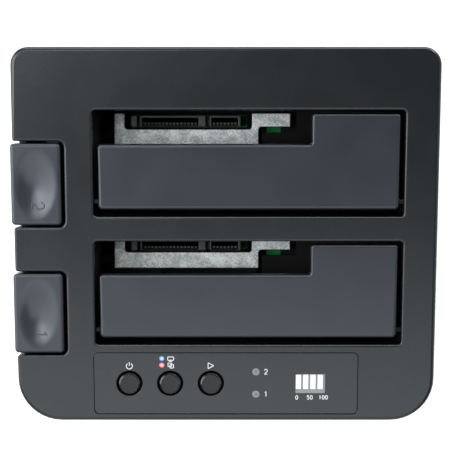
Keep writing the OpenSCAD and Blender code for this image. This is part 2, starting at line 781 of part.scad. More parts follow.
module ribbon_cable() {
  color([0.75, 0.75, 0.72]) translate([ribbon_x - ribbon_w / 2, 0, 0]) rotate([90, 0, 90])
    linear_extrude(ribbon_w) polygon(
      concat([for (i = [0:12]) ribbon_side(i, 1)], [for (i = [12:-1:0]) ribbon_side(i, -1)]));
}

module ribbon_sockets() {
  color([0.9, 0.88, 0.82]) {
    translate([ribbon_x, ribbon_y, pcb_top]) linear_extrude(socket_h)
      square([socket_w, socket_d], center = true);
    on_top(ribbon_x, ribbon_y) translate([0, 0, -ribbon_high_drop])
      linear_extrude(socket_h) square([socket_w, socket_d], center = true);
  }
}

// Main board and what is soldered to it

module main_board() {
  color(board_green) difference() {
    box_span(pcb_left, pcb_right, pcb_front, pcb_back, pcb_z, pcb_top);
    for (s = standoff_spots) translate([s[0], s[1], pcb_z - over])
      cylinder(r = board_hole_r, h = pcb_t + 2 * over);
  }
}

module board_screws() {
  color(steel) for (s = standoff_spots) translate([s[0], s[1], pcb_top]) mirror([0, 0, 1])
    screw(board_screw_r, pcb_top - floor_top - 0.2, board_head_r, 1.2);
}

module flat_chip(x, y, w) {
  translate([x, y, pcb_top + lead_h / 4]) linear_extrude(chip_h) square([w, w], center = true);
  leads = floor((w - 2 * lead_pitch) / lead_pitch);
  for (a = [0, 90, 180, 270], i = [0:leads]) translate([x, y, pcb_top]) rotate(a)
    translate([w / 2 - lead_w / 2, (i - leads / 2) * lead_pitch - lead_w / 2, 0])
    cube([lead_len, lead_w, lead_h]);
}

module bridge_chips() {
  color([0.08, 0.08, 0.09]) {
    flat_chip(chip_x, slot_back(0) - chip_back, chip_w);
    flat_chip(chip_x, slot_back(1) - chip_back, small_chip_w);
  }
}

module capacitors() {
  color([0.55, 0.57, 0.6]) for (i = [0:2])
    translate([can_first + can_pitch * i, pcb_back - can_r - 2.5, pcb_top]) cylinder(r = can_r, h = can_h);
}

module inductors() {
  color([0.2, 0.2, 0.22]) for (i = [0, 1])
    translate([coil_box_first + coil_box_pitch * i, pcb_front + standoff_in + coil_box_w, pcb_top])
      linear_extrude(coil_box_h) rounded_rect(coil_box_w, coil_box_w, coil_box_w / 5);
}

module usb_shell() {
  color(steel) translate([usb_x, port_face, pcb_top]) rotate([90, 0, 0]) difference() {
    linear_extrude(usb_len) usb_outline();
    translate([0, 0, -over]) linear_extrude(usb_len - 1.5 + over) usb_outline(-usb_wall);
  }
}

module usb_tongue() {
  back = port_face - usb_len + 1.5;
  color([0.1, 0.25, 0.6]) {
    box_span(usb_x - 2.8, usb_x + 2.8, back, port_face - 1.5, pcb_top + 2.8, pcb_top + 5.8);
    box_span(usb_x - 2.2, usb_x + 2.2, back, port_face - 1.5, pcb_top + 9, pcb_top + 10.6);
    box_span(usb_x - usb_w / 2 + usb_wall, usb_x + usb_w / 2 - usb_wall, back, back + 4,
      pcb_top + usb_wall, pcb_top + usb_h - usb_wall);
  }
}

module power_jack() {
  color(dark_abs) difference() {
    box_span(jack_x - jack_w / 2, jack_x + jack_w / 2, port_face - jack_len, port_face,
      pcb_top, pcb_top + jack_h);
    translate([jack_x, port_face + over, jack_z]) rotate([90, 0, 0])
      cylinder(r = jack_bore_r, h = jack_pin_sink + jack_pin_len + jack_neck + over);
    translate([jack_x, port_face, jack_z]) rotate([90, 0, 0])
      cylinder(r = jack_root_r + seat_gap, h = jack_pin_sink + jack_pin_len + jack_neck + jack_root_len);
  }
}

module power_jack_pin() {
  color([0.8, 0.7, 0.4]) translate([jack_x, port_face - jack_pin_sink, jack_z]) rotate([90, 0, 0]) {
    cylinder(r = jack_pin_r, h = jack_pin_len);
    cylinder(r = jack_pin_r - 0.2, h = jack_pin_len + jack_neck);
    translate([0, 0, jack_pin_len + jack_neck]) cylinder(r = jack_root_r, h = jack_root_len);
  }
}

module well_screws() {
  color(steel) for (bay = [0, 1], s = lug_spots(bay))
    translate([s[0], s[1], lug_top(s[1]) - lug_t]) screw(lug_screw_r, lug_t + lug_drop - 1, 1.9, 1.2);
}

module eject_posts() {
  color(steel) for (bay = [0, 1]) translate([post_x, slot_back(bay) - post_back, floor_top])
    cylinder(r = post_r, h = post_top - floor_top);
}

// One drive bay

module drive_well(bay) {
  b = slot_back(bay);
  f = slot_front(bay);
  color(dark_abs) difference() {
    union() {
      difference() {
        intersection() {
          box_span(slot_left - well_wall, slot_right + well_wall, f - well_wall, b + well_wall,
            well_floor_under, rear_h);
          under_top(top_t);
        }
        box_span(slot_left, slot_right, f, b, well_floor_z, rear_h + over);
        box_span(slot_left, well_open_step, b - well_open_d, b,
          well_floor_under - over, well_floor_z + over);
        box_span(slot_left, well_open_right, b - plate_arm_front - arm_open_gap, b,
          well_floor_under - over, well_floor_z + over);
      }
      for (x = tab_spots) box_span(x - sleeve_w / 2, x + sleeve_w / 2,
        b - well_open_d - 3, b - plate_front + 2.8, sleeve_bottom, sleeve_top);
      for (e = [rocker_back - rocker_t / 2 - side_gap - ear_t, rocker_back + rocker_t / 2 + side_gap])
        rocker_ear(b - e - ear_t);
      for (s = lug_spots(bay)) translate([s[0], s[1], lug_top(s[1]) - lug_t]) {
        cylinder(r = lug_r, h = lug_t);
        wall_x = s[0] < slot_mid ? slot_left - well_wall : slot_right + well_wall;
        translate([min(0, wall_x - s[0]), -lug_r, 0]) cube([abs(wall_x - s[0]), 2 * lug_r, lug_t]);
      }
    }
    for (x = tab_spots) box_span(x - tab_w / 2 - tab_gap, x + tab_w / 2 + tab_gap,
      b - plate_front - tab_gap, b - plate_front + plate_t + tab_gap,
      sleeve_bottom - over, sleeve_top + over);
    box_span(slot_left - well_wall - over, slot_left + over, b - rocker_back - rocker_t / 2 - side_gap,
      b - rocker_back + rocker_t / 2 + side_gap, well_floor_under - over, rocker_z + 4.5);
    translate([rocker_x, b, rocker_z]) rotate([90, 0, 0])
      cylinder(r = rocker_pin_r + seat_gap, h = 2 * rocker_back);
    translate([slot_left - well_wall - over, hinge_y(bay), hinge_z(bay)]) rotate([0, 90, 0])
      cylinder(r = hinge_pin_r + seat_gap, h = slot_w + 2 * well_wall + 2 * over);
    for (s = lug_spots(bay)) translate([s[0], s[1], lug_top(s[1]) - lug_t - over])
      cylinder(r = lug_screw_r + 0.2, h = lug_t + 2 * over);
  }
}

module rocker_ear(y) {
  box_span(rocker_x, slot_left - well_wall, y, y + ear_t, rocker_z - rocker_hub_r, rocker_z + rocker_hub_r);
  translate([rocker_x, y + ear_t, rocker_z]) rotate([90, 0, 0]) cylinder(r = rocker_hub_r, h = ear_t);
}

module flap_outline() {
  difference() {
    translate([flap_left, flap_front_y]) square([flap_right - flap_left, flap_back_y - flap_front_y]);
    translate([flap_left - over, flap_notch_y]) square([notch_right - flap_left + over, flap_back_y]);
  }
  difference() {
    translate([notch_right - notch_fillet, flap_notch_y]) square(notch_fillet);
    translate([notch_right - notch_fillet, flap_notch_y + notch_fillet]) circle(notch_fillet);
  }
}

module flap(bay) {
  color(black_abs) at_hinge(bay) difference() {
    union() {
      linear_extrude(axis_drop) flap_outline();
      translate([flap_left, 0, 0]) rotate([0, 90, 0]) cylinder(r = barrel_r, h = flap_right - flap_left);
      for (x = [flap_left + 20, slot_mid, notch_right + 8])
        box_span(x - rib_t / 2, x + rib_t / 2, 0, flap_notch_y - 3, -rib_h, over);
    }
    translate([flap_left - over, 0, 0]) rotate([0, 90, 0])
      cylinder(r = hinge_pin_r + run_gap, h = flap_right - flap_left + 2 * over);
    box_span(coil_x - coil_len / 2 - coil_room, coil_x + coil_len / 2 + coil_room, flap_front_y - over,
      barrel_r + 1.2, -barrel_r - over, axis_drop - coil_skin);
  }
}

module flap_pin(bay) {
  color(steel) translate([slot_left - well_wall, hinge_y(bay), hinge_z(bay)]) rotate([0, 90, 0])
    cylinder(r = hinge_pin_r, h = slot_w + 2 * well_wall);
}

// Torsion spring: a coil round the pin, one leg under the flap and one on the well's front wall
coil_steps = 12;
coil_line = [for (i = [0:coil_turns * coil_steps])
  [coil_x - coil_len / 2 + coil_len * i / (coil_turns * coil_steps),
   coil_r * cos(360 * i / coil_steps - 90), coil_r * sin(360 * i / coil_steps - 90)]];
coil_first = coil_line[0];
coil_last = coil_line[coil_turns * coil_steps];
flap_leg = [for (p = [[2, 0.1], [5, coil_r - 0.8], [9, coil_r - coil_wire / 2 - 0.15]])
  coil_last + [0, p[0], p[1]]];
wall_leg_y = -(slot_d - hinge_back) + axis_drop * sin(top_slope) + coil_wire;
wall_leg = [[coil_first[0], wall_leg_y, coil_first[2]], [coil_first[0], wall_leg_y / 2 - 0.6, coil_first[2]]];

module flap_spring(bay) {
  color(steel) at_hinge(bay) tube(concat(wall_leg, coil_line, flap_leg), coil_wire / 2, [1, 0, 0]);
}

module eject_button(bay) {
  back = cap_back(bay);
  front = cap_front(bay);
  mid = cap_mid(bay);
  bottom = cap_bottom(bay);
  b = slot_back(bay);
  color(black_abs) difference() {
    union() {
      difference() {
        intersection() {
          translate([dish_x, mid, 0]) linear_extrude(far) rounded_rect(cap_w, cap_len, cap_corner_r);
          under_top(0);
          above_depth(cap_skirt);
        }
        intersection() {
          box_span(cap_left + cap_wall, cap_right - cap_wall, front + cap_wall, back - cap_wall,
            bottom - cap_len, rear_h);
          under_top(cap_top_t);
        }
        on_top(dish_x, mid) translate([0, 0, dish_ring_r + dish_tube_r - dish_depth]) rotate([0, 90, 0])
          rotate_extrude() translate([dish_ring_r, 0]) circle(dish_tube_r);
      }
      difference() {
        box_span(shroud_left, shroud_right, front + shroud_in, back - shroud_in,
          bottom - shroud_drop, bottom + shroud_up);
        box_span(shroud_left + shroud_t, shroud_right - shroud_t, front + shroud_in + shroud_t,
          back - shroud_in - shroud_t, bottom - shroud_drop - over, bottom + shroud_up + over);
      }
      intersection() {
        union() {
          translate([post_x, b - post_back, pillar_z]) cylinder(r = pillar_r, h = far);
          box_span(foot_left, foot_right, b - leg_back - leg_len, b - leg_back, foot_z, far);
        }
        under_top(cap_top_t - over);
      }
      box_span(foot_left, foot_right, b - leg_back - leg_len,
        b - rocker_back + rocker_t / 2 + side_gap, foot_z, foot_z + foot_t);
      cap_bridge(bay);
    }
    translate([post_x, b - post_back, pillar_z - over])
      cylinder(r = post_r + run_gap, h = pillar_bore_top - pillar_z + over);
  }
}

// Web that ties the foot's leg and the pillar to the shroud
module cap_bridge(bay) {
  bottom = cap_bottom(bay);
  box_span(shroud_left, shroud_right, cap_mid(bay) - 1, cap_mid(bay) + 1,
    max(bottom - shroud_drop, pillar_bore_top), bottom + shroud_up);
}

module eject_spring(bay) {
  steps = 12;
  n = spring_turns * steps;
  low = post_boss_z + spring_wire / 2 + 0.1;
  high = pillar_z - spring_wire / 2 - 0.1;
  color(steel) translate([post_x, slot_back(bay) - post_back, 0])
    tube([for (i = [0:n]) let (a = 360 * i / steps)
      [spring_r * cos(a), spring_r * sin(a), low + (high - low) * i / n]], spring_wire / 2, [0, 0, 1]);
}

module eject_rocker(bay) {
  arm_x = rocker_arm;
  tip_z = nose_r * 0.55;
  hub_z = rocker_hub_r * 0.7;
  color(zinc) translate([rocker_x, slot_back(bay) - rocker_back, rocker_z])
    rotate([0, rocker_swing, 0]) rotate([90, 0, 0]) translate([0, 0, -rocker_t / 2]) difference() {
      union() {
        cylinder(r = rocker_hub_r, h = rocker_t);
        for (s = [-1, 1]) translate([s * arm_x, 0, 0]) cylinder(r = nose_r, h = rocker_t);
        linear_extrude(rocker_t)
          polygon([[-arm_x, tip_z], [0, hub_z], [arm_x, tip_z],
            [arm_x, -tip_z], [0, -hub_z], [-arm_x, -tip_z]]);
      }
      translate([0, 0, -over]) cylinder(r = rocker_pin_r + run_gap, h = rocker_t + 2 * over);
    }
}

module rocker_pin(bay) {
  half_len = rocker_t / 2 + side_gap + ear_t;
  color(steel) translate([rocker_x, slot_back(bay) - rocker_back + half_len, rocker_z]) rotate([90, 0, 0])
    cylinder(r = rocker_pin_r, h = 2 * half_len);
}

// Lift plate seen from above, with its corner fillets; y runs to the front from the slot's back edge
module plate_outline() {
  translate([plate_left, plate_back]) square([plate_leg_w, plate_front - plate_back]);
  translate([plate_left, plate_cut_d]) square([plate_riser_right - plate_left, plate_bar_d]);
  translate([plate_cut_right, plate_back]) square([plate_riser_w, plate_front - plate_back]);
  translate([plate_cut_right, plate_back]) square([plate_arm_right - plate_cut_right, plate_arm_d]);
  corner_fillet(plate_cut_left, plate_cut_d, 1, -1);
  corner_fillet(plate_cut_right, plate_cut_d, -1, -1);
  corner_fillet(plate_riser_right, plate_arm_front, 1, 1);
}

module corner_fillet(x, y, sx, sy) {
  translate([x, y]) mirror([sx < 0 ? 1 : 0, 0]) mirror([0, sy < 0 ? 1 : 0]) difference() {
    translate([-0.2, -0.2]) square(plate_fillet + 0.2);
    translate([plate_fillet, plate_fillet]) circle(plate_fillet);
  }
}

module lift_plate(bay) {
  b = slot_back(bay);
  color(zinc) {
    translate([0, b, plate_under]) mirror([0, 1, 0]) linear_extrude(plate_t) plate_outline();
    for (x = tab_spots) box_span(x - tab_w / 2, x + tab_w / 2, b - plate_front, b - plate_front + plate_t,
      tab_bottom, plate_under + plate_t / 2);
  }
}

module connector_mouth(x, w) {
  translate([x - w / 2, -mouth_t / 2, conn_top_z - mouth_depth]) cube([w, mouth_t, mouth_depth + over]);
}

module sata_connector(bay) {
  color(dark_abs) translate([0, slot_back(bay) - conn_back, 0]) difference() {
    union() {
      translate([conn_x - conn_w / 2, -conn_t / 2, pcb_top]) cube([conn_w, conn_t, conn_top_z - pcb_top]);
    }
    connector_mouth(power_x, power_w - 1.4);
    connector_mouth(signal_x, signal_w - 1.4);
    translate([conn_x - conn_w / 2 + conn_end, -conn_t / 2 - over, conn_top_z - mouth_depth])
      cube([1, conn_t + 2 * over, mouth_depth + over]);
  }
}

module contact_row(x, count) {
  first = x - (count - 1) / 2 * contact_pitch - contact_w / 2;
  for (i = [0:count - 1]) translate([first + i * contact_pitch, -mouth_t / 2, conn_top_z - mouth_depth])
    cube([contact_w, contact_t, mouth_depth - 0.6]);
}

module sata_contacts(bay) {
  color([0.85, 0.72, 0.4]) translate([0, slot_back(bay) - conn_back, 0]) {
    contact_row(power_x, 15);
    contact_row(signal_x, 7);
  }
}

centred() top_cover();
centred() base_tray();
centred() rubber_feet();
centred() case_screws();
centred() control_panel();
centred() push_button(0);  // power_button
centred() push_button(1);  // mode_button
centred() push_button(2);  // start_button
centred() plunger(0);  // power_plunger
centred() plunger(1);  // mode_plunger
centred() plunger(2);  // start_plunger
centred() tact_switches();
centred() mode_lens(0, [0.45, 0.65, 0.95]);  // mode_lens_blue
centred() mode_lens(1, [0.95, 0.45, 0.45]);  // mode_lens_red
centred() drive_lens(0);  // drive_lens_rear
centred() drive_lens(1);  // drive_lens_front
centred() progress_frame();
centred() progress_segments();
centred() indicator_leds();
centred() control_board();
centred() control_board_screws();
centred() ribbon_sockets();
centred() ribbon_cable();
centred() main_board();
centred() board_screws();
centred() bridge_chips();
centred() capacitors();
centred() inductors();
centred() usb_shell();
centred() usb_tongue();
centred() power_jack();
centred() power_jack_pin();
centred() well_screws();
centred() eject_posts();
centred() drive_well(0);  // drive_well_rear
centred() drive_well(1);  // drive_well_front
centred() flap(0);  // flap_rear
centred() flap(1);  // flap_front
centred() flap_pin(0);  // flap_pin_rear
centred() flap_pin(1);  // flap_pin_front
centred() flap_spring(0);  // flap_spring_rear
centred() flap_spring(1);  // flap_spring_front
centred() eject_button(0);  // eject_button_rear
centred() eject_button(1);  // eject_button_front
centred() eject_spring(0);  // eject_spring_rear
centred() eject_spring(1);  // eject_spring_front
centred() eject_rocker(0);  // eject_rocker_rear
centred() eject_rocker(1);  // eject_rocker_front
centred() rocker_pin(0);  // rocker_pin_rear
centred() rocker_pin(1);  // rocker_pin_front
centred() lift_plate(0);  // lift_plate_rear
centred() lift_plate(1);  // lift_plate_front
centred() sata_connector(0);  // sata_connector_rear
centred() sata_connector(1);  // sata_connector_front
centred() sata_contacts(0);  // sata_contacts_rear
centred() sata_contacts(1);  // sata_contacts_front
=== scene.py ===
import json
import math

import bpy
import numpy as np
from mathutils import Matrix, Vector
from mathutils.geometry import tessellate_polygon


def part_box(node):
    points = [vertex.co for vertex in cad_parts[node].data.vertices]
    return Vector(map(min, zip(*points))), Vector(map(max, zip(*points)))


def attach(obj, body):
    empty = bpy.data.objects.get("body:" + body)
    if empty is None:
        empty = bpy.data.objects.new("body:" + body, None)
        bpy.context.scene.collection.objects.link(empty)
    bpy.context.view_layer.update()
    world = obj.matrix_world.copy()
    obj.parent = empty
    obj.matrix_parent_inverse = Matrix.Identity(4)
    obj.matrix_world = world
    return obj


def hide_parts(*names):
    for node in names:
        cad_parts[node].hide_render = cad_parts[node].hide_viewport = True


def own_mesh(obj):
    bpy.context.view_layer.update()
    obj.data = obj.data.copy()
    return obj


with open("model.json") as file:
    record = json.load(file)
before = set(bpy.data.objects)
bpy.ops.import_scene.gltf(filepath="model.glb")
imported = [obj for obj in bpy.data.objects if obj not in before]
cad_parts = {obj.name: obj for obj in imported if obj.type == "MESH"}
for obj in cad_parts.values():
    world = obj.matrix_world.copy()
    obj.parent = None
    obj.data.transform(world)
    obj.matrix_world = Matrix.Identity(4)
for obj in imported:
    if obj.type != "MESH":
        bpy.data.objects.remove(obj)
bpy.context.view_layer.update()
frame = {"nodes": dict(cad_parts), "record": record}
nodes = frame["nodes"]
mm = 0.001  # all measures below are millimetres
middleShift = 0.4  # the keys stand out on the left, so the casing's middle is right of the frame's


def linearColour(hexText):
    # sRGB hex to linear red, green, blue and alpha
    srgb = np.array([int(hexText[i:i + 2], 16) for i in (0, 2, 4)]) / 255
    rgb = np.where(srgb <= 0.04045, srgb / 12.92, ((srgb + 0.055) / 1.055) ** 2.4)
    return (*rgb.tolist(), 1.0)


def addNode(tree, kind, links=(), sockets=(), **settings):
    # adds a node, sets its properties and socket values, and links outputs to its inputs
    node = tree.nodes.new(kind)
    for key, value in settings.items():
        setattr(node, key, value)
    for key, value in dict(sockets).items():
        node.inputs[key].default_value = value
    for key, output in dict(links).items():
        tree.links.new(output, node.inputs[key])
    return node


def newMaterial(name):
    # empty node material
    material = bpy.data.materials.new(name)
    material.use_nodes = True
    tree = material.node_tree
    tree.nodes.clear()
    return material, tree


noiseLow, noiseHigh = 0.3, 0.7  # soft noise seldom leaves this range


def mouldedPlastic(name, look):
    # moulded plastic: a spark-eroded tool leaves an even satin grain, with faint flow clouds in the colour;
    # the real grain is far below a tenth of a millimetre and is drawn coarser so that it shows
    material, tree = newMaterial(name)
    place = addNode(tree, "ShaderNodeTexCoord").outputs["Object"]
    clouds = addNode(tree, "ShaderNodeTexNoise", {"Vector": place},
                     {"Scale": 1 / (look["cloudMm"] * mm), "Detail": 3.0}).outputs["Fac"]
    grain = addNode(tree, "ShaderNodeTexNoise", {"Vector": place},
                    {"Scale": 1 / (look["grainMm"] * mm), "Detail": 2.0, "Roughness": 0.6}).outputs["Fac"]
    colour = addNode(tree, "ShaderNodeValToRGB", {"Fac": clouds})
    stops = zip(colour.color_ramp.elements, (noiseLow, noiseHigh), (look["dark"], look["pale"]))
    for stop, position, paint in stops:
        stop.position, stop.color = position, linearColour(paint)
    low, high = look["rough"]
    rough = addNode(tree, "ShaderNodeMapRange", {"Value": clouds},
                    {"From Min": noiseLow, "From Max": noiseHigh, "To Min": low, "To Max": high})
    bump = addNode(tree, "ShaderNodeBump", {"Height": grain},
                   {"Strength": look["bump"], "Distance": look["grainMm"] * mm * 0.25})
    shader = addNode(tree, "ShaderNodeBsdfPrincipled",
                     {"Base Color": colour.outputs["Color"], "Roughness": rough.outputs["Result"],
                      "Normal": bump.outputs["Normal"]},
                     {"IOR": look["ior"], "Specular Tint": linearColour(look.get("sheen", "ffffff"))})
    addNode(tree, "ShaderNodeOutputMaterial", {"Surface": shader.outputs[0]})
    return material


def sheetMetal(name, look):
    # metal: crystal cells or drawing marks, and broad patches, change the brightness, scratches the gloss;
    # the scratches are drawn coarser than real ones so that they show
    material, tree = newMaterial(name)
    place = addNode(tree, "ShaderNodeTexCoord").outputs["Object"]
    cells = addNode(tree, "ShaderNodeTexVoronoi", {"Vector": place},
                    {"Scale": 1 / (look["cellMm"] * mm), "Randomness": 1.0})
    tone = addNode(tree, "ShaderNodeSeparateColor", {"Color": cells.outputs["Color"]}).outputs["Red"]
    if "patchMm" in look:
        patches = addNode(tree, "ShaderNodeTexNoise", {"Vector": place},
                          {"Scale": 1 / (look["patchMm"] * mm), "Detail": 1.0})
        drift = addNode(tree, "ShaderNodeMapRange", {"Value": patches.outputs["Fac"]},
                        {"From Min": noiseLow, "From Max": noiseHigh,
                         "To Min": -look["patchy"], "To Max": look["patchy"]})
        tone = addNode(tree, "ShaderNodeMath", {0: tone, 1: drift.outputs["Result"]},
                       operation="ADD").outputs[0]
    colour = addNode(tree, "ShaderNodeValToRGB", {"Fac": tone})
    for stop, paint in zip(colour.color_ramp.elements, (look["dark"], look["pale"])):
        stop.color = linearColour(paint)
    scratch = addNode(tree, "ShaderNodeTexNoise", {"Vector": place},
                      {"Scale": 1 / (look["grainMm"] * mm), "Detail": 4.0}).outputs["Fac"]
    low, high = look["rough"]
    rough = addNode(tree, "ShaderNodeMapRange", {"Value": scratch},
                    {"From Min": noiseLow, "From Max": noiseHigh, "To Min": low, "To Max": high})
    bump = addNode(tree, "ShaderNodeBump", {"Height": scratch},
                   {"Strength": look["bump"], "Distance": look["grainMm"] * mm * 0.2})
    shader = addNode(tree, "ShaderNodeBsdfPrincipled",
                     {"Base Color": colour.outputs["Color"], "Roughness": rough.outputs["Result"],
                      "Normal": bump.outputs["Normal"]}, {"Metallic": 1.0})
    addNode(tree, "ShaderNodeOutputMaterial", {"Surface": shader.outputs[0]})
    return material


def lightPipe(name, look):
    # clear pipe seen on end: colour runs from its wall to its core by the distance kept on each point; this
    # ring and core are painted light, standing in for light seen through the pipe
    material, tree = newMaterial(name)
    inwards = addNode(tree, "ShaderNodeAttribute", attribute_name="inwards").outputs["Fac"]
    colour = addNode(tree, "ShaderNodeValToRGB", {"Fac": inwards})
    for stop, position, paint in zip(colour.color_ramp.elements, (0.2, 0.75), (look["ring"], look["core"])):
        stop.position, stop.color = position, linearColour(paint)
    shader = addNode(tree, "ShaderNodeBsdfPrincipled", {"Base Color": colour.outputs["Color"]},
                     {"Roughness": look["rough"], "IOR": 1.49})
    addNode(tree, "ShaderNodeOutputMaterial", {"Surface": shader.outputs[0]})
    return material


finishes = {
    # casing: black ABS from a finely eroded tool, so a soft even sheen, a little cool, and no mirror
    "mouldedAbsCasing": (mouldedPlastic, dict(
        dark="0f1214", pale="131618", cloudMm=14, grainMm=0.5, bump=0.06, rough=(0.265, 0.28), ior=1.54,
        sheen="f1f7fc")),
    # panel and flaps: the same ABS from finer tools, so a touch paler and more even
    "mouldedAbsPanel": (mouldedPlastic, dict(
        dark="15181a", pale="191c1e", cloudMm=12, grainMm=0.45, bump=0.06, rough=(0.27, 0.29), ior=1.54,
        sheen="f5f9fd")),
    "mouldedAbsFlap": (mouldedPlastic, dict(
        dark="1f2227", pale="23262b", cloudMm=12, grainMm=0.45, bump=0.06, rough=(0.29, 0.305), ior=1.58,
        sheen="eaf3fd")),
    # keys: the same ABS, handled, so a little paler
    "mouldedAbsKeys": (mouldedPlastic, dict(
        dark="26292e", pale="2b2e33", cloudMm=12, grainMm=0.45, bump=0.06, rough=(0.30, 0.32), ior=1.56,
        sheen="e8f2fd")),
    # round buttons: a polished rim that catches a bright line, round a matt face that stays darker
    "mouldedAbsCaps": (mouldedPlastic, dict(
        dark="141516", pale="18191a", cloudMm=12, grainMm=0.45, bump=0.03, rough=(0.14, 0.16), ior=1.6,
        sheen="f4f8ff")),
    "mattAbsFace": (mouldedPlastic, dict(
        dark="141516", pale="18191a", cloudMm=12, grainMm=0.45, bump=0.08, rough=(0.4, 0.45), ior=1.42)),
    # printed signs: matt white ink, a little grey, so it reads as print and not as light
    "whiteInk": (mouldedPlastic, dict(
        dark="c6cacc", pale="d6dadb", cloudMm=1, grainMm=0.2, bump=0.05, rough=(0.5, 0.6), ior=1.5)),
    # inside of the bays: plain black ABS, duller; the same near black also serves as painted shade on the key
    # stems and on the sheet over the board
    "innerAbsAndPaintedShade": (mouldedPlastic, dict(
        dark="040405", pale="070708", cloudMm=9, grainMm=0.5, bump=0.15, rough=(0.6, 0.7), ior=1.3)),
    # drive connectors: glass-filled resin, glossy where it left a polished tool
    "glossResin": (mouldedPlastic, dict(
        dark="343841", pale="3c414a", cloudMm=3, grainMm=0.4, bump=0.05, rough=(0.36, 0.44), ior=1.5)),
    # feet: soft black rubber that takes no sheen
    "rubberFeet": (mouldedPlastic, dict(
        dark="121212", pale="191919", cloudMm=4, grainMm=0.4, bump=0.3, rough=(0.8, 0.92), ior=1.5)),
    # small sockets on the boards: warm white nylon
    "ivoryNylon": (mouldedPlastic, dict(
        dark="d2ccb8", pale="ded9c8", cloudMm=3, grainMm=0.3, bump=0.08, rough=(0.4, 0.5), ior=1.53)),
    # tongues of the wide socket: the clear blue nylon of a fast port
    "blueNylon": (mouldedPlastic, dict(
        dark="12357f", pale="1a4394", cloudMm=3, grainMm=0.3, bump=0.08, rough=(0.35, 0.45), ior=1.53)),
    # chips: dull black resin with a sandy face
    "chipResin": (mouldedPlastic, dict(
        dark="141415", pale="1c1c1e", cloudMm=2, grainMm=0.25, bump=0.2, rough=(0.55, 0.65), ior=1.55)),
    # light pipes: clear tinted acrylic; the deep ring of its wall round a paler core is painted light, for
    # light seen through the pipe
    "blueLens": (lightPipe, dict(ring="4f86c9", core="b7cde6", rough=0.22)),
    "redLens": (lightPipe, dict(ring="e0616a", core="ecb9bb", rough=0.22)),
    "smokedLens": (lightPipe, dict(ring="7d8083", core="626568", rough=0.3)),
    # progress segments: milky acrylic, an even white in room light
    "whiteDiffuser": (mouldedPlastic, dict(
        dark="d3dbdb", pale="dde4e4", cloudMm=2, grainMm=0.3, bump=0.02, rough=(0.3, 0.36), ior=1.49)),
    # boards: green lacquer over copper, dim and even
    "solderMask": (mouldedPlastic, dict(
        dark="139448", pale="1aa656", cloudMm=5, grainMm=0.6, bump=0.1, rough=(0.5, 0.6), ior=1.25)),
    # lift plates: a dull zinc skin of fine spangles, each with its own grey, in paler and darker patches
    "galvanisedSteel": (sheetMetal, dict(
        dark="bcc5c8", pale="f8fcfd", cellMm=0.45, patchMm=4, patchy=0.5, grainMm=0.3, bump=0.2,
        rough=(0.5, 0.62))),
    # pins and springs: steel left dark by oil
    "oiledSteel": (sheetMetal, dict(
        dark="232426", pale="2e2f31", cellMm=0.8, grainMm=0.15, bump=0.08, rough=(0.4, 0.5))),
    # screws and socket shells: bright turned steel
    "turnedSteel": (sheetMetal, dict(
        dark="a9aaad", pale="bdbec1", cellMm=0.8, grainMm=0.15, bump=0.08, rough=(0.25, 0.38))),
    # cans: drawn aluminium, a little paler than the screws
    "drawnAluminium": (sheetMetal, dict(
        dark="b4b7ba", pale="c4c7c9", cellMm=1.0, grainMm=0.2, bump=0.06, rough=(0.3, 0.42))),
    # contacts: thin pale gold, small warm glints deep in a mouth
    "goldFlash": (sheetMetal, dict(
        dark="e4e0d6", pale="f2eee6", cellMm=0.6, grainMm=0.15, bump=0.05, rough=(0.55, 0.65))),
}
materials = {name: make(name, look) for name, (make, look) in finishes.items()}
slotFinish = {
    "casing_plastic": "mouldedAbsCasing", "button_plastic": "mouldedAbsKeys",
    "inner_plastic": "innerAbsAndPaintedShade", "foot_rubber": "rubberFeet",
    "plain_steel": "turnedSteel", "galvanised_steel": "galvanisedSteel",
    "ivory_plastic": "ivoryNylon", "blue_lens": "blueLens", "red_lens": "redLens", "grey_lens": "smokedLens",
    "white_diffuser": "whiteDiffuser", "board_laminate": "solderMask", "chip_resin": "chipResin",
    "can_aluminium": "drawnAluminium", "blue_plastic": "blueNylon", "contact_metal": "goldFlash",
}
print("materials made:", len(materials))


def dress(obj, finish):
    obj.data.materials.clear()
    obj.data.materials.append(materials[finish])


for row in frame["record"]["subparts"]:
    oiled = row["node"].startswith(("flap_pin", "flap_spring", "rocker_pin", "eject_spring"))
    dress(nodes[row["node"]], "oiledSteel" if oiled else slotFinish[row["material_slot"]])


# Shared shapes: a shell is a growing list of points and faces in millimetres


def newShell():
    return {"points": [], "faces": [], "count": 0}


def addPoints(shell, points):
    # adds points and gives their numbers in the shell
    points = np.asarray(points, float).reshape(-1, 3)
    start = shell["count"]
    shell["points"].append(points)
    shell["count"] += len(points)
    return np.arange(start, start + len(points))


def addRings(shell, rings, aroundRings=False):
    # closed loops joined one to the next by quads; with aroundRings the last loop also joins the first
    rings = np.asarray(rings, float)
    index = addPoints(shell, rings).reshape(rings.shape[:2])
    low = index if aroundRings else index[:-1]
    high = np.roll(index, -1, 0) if aroundRings else index[1:]
    quads = np.stack([low, np.roll(low, -1, 1), np.roll(high, -1, 1), high], -1).reshape(-1, 4)
    shell["faces"] += quads.tolist()
    return index


def addCap(shell, loops, upwards):
    # flat face between an outer loop and any holes, cut into triangles in plan
    points = np.concatenate(shell["points"])
    flat = [[Vector((x, y, 0)) for x, y in points[loop][:, :2]] for loop in loops]
    order = np.concatenate(loops)
    corners = points[order]
    triangles = np.array(tessellate_polygon(flat))
    a, b, c = (corners[triangles[:, i], :2] for i in range(3))
    turn = (b[:, 0] - a[:, 0]) * (c[:, 1] - a[:, 1]) - (b[:, 1] - a[:, 1]) * (c[:, 0] - a[:, 0])
    wrong = (turn > 0) != upwards
    triangles[wrong] = triangles[wrong][:, ::-1]
    shell["faces"] += order[triangles[np.abs(turn) > 1e-9]].tolist()


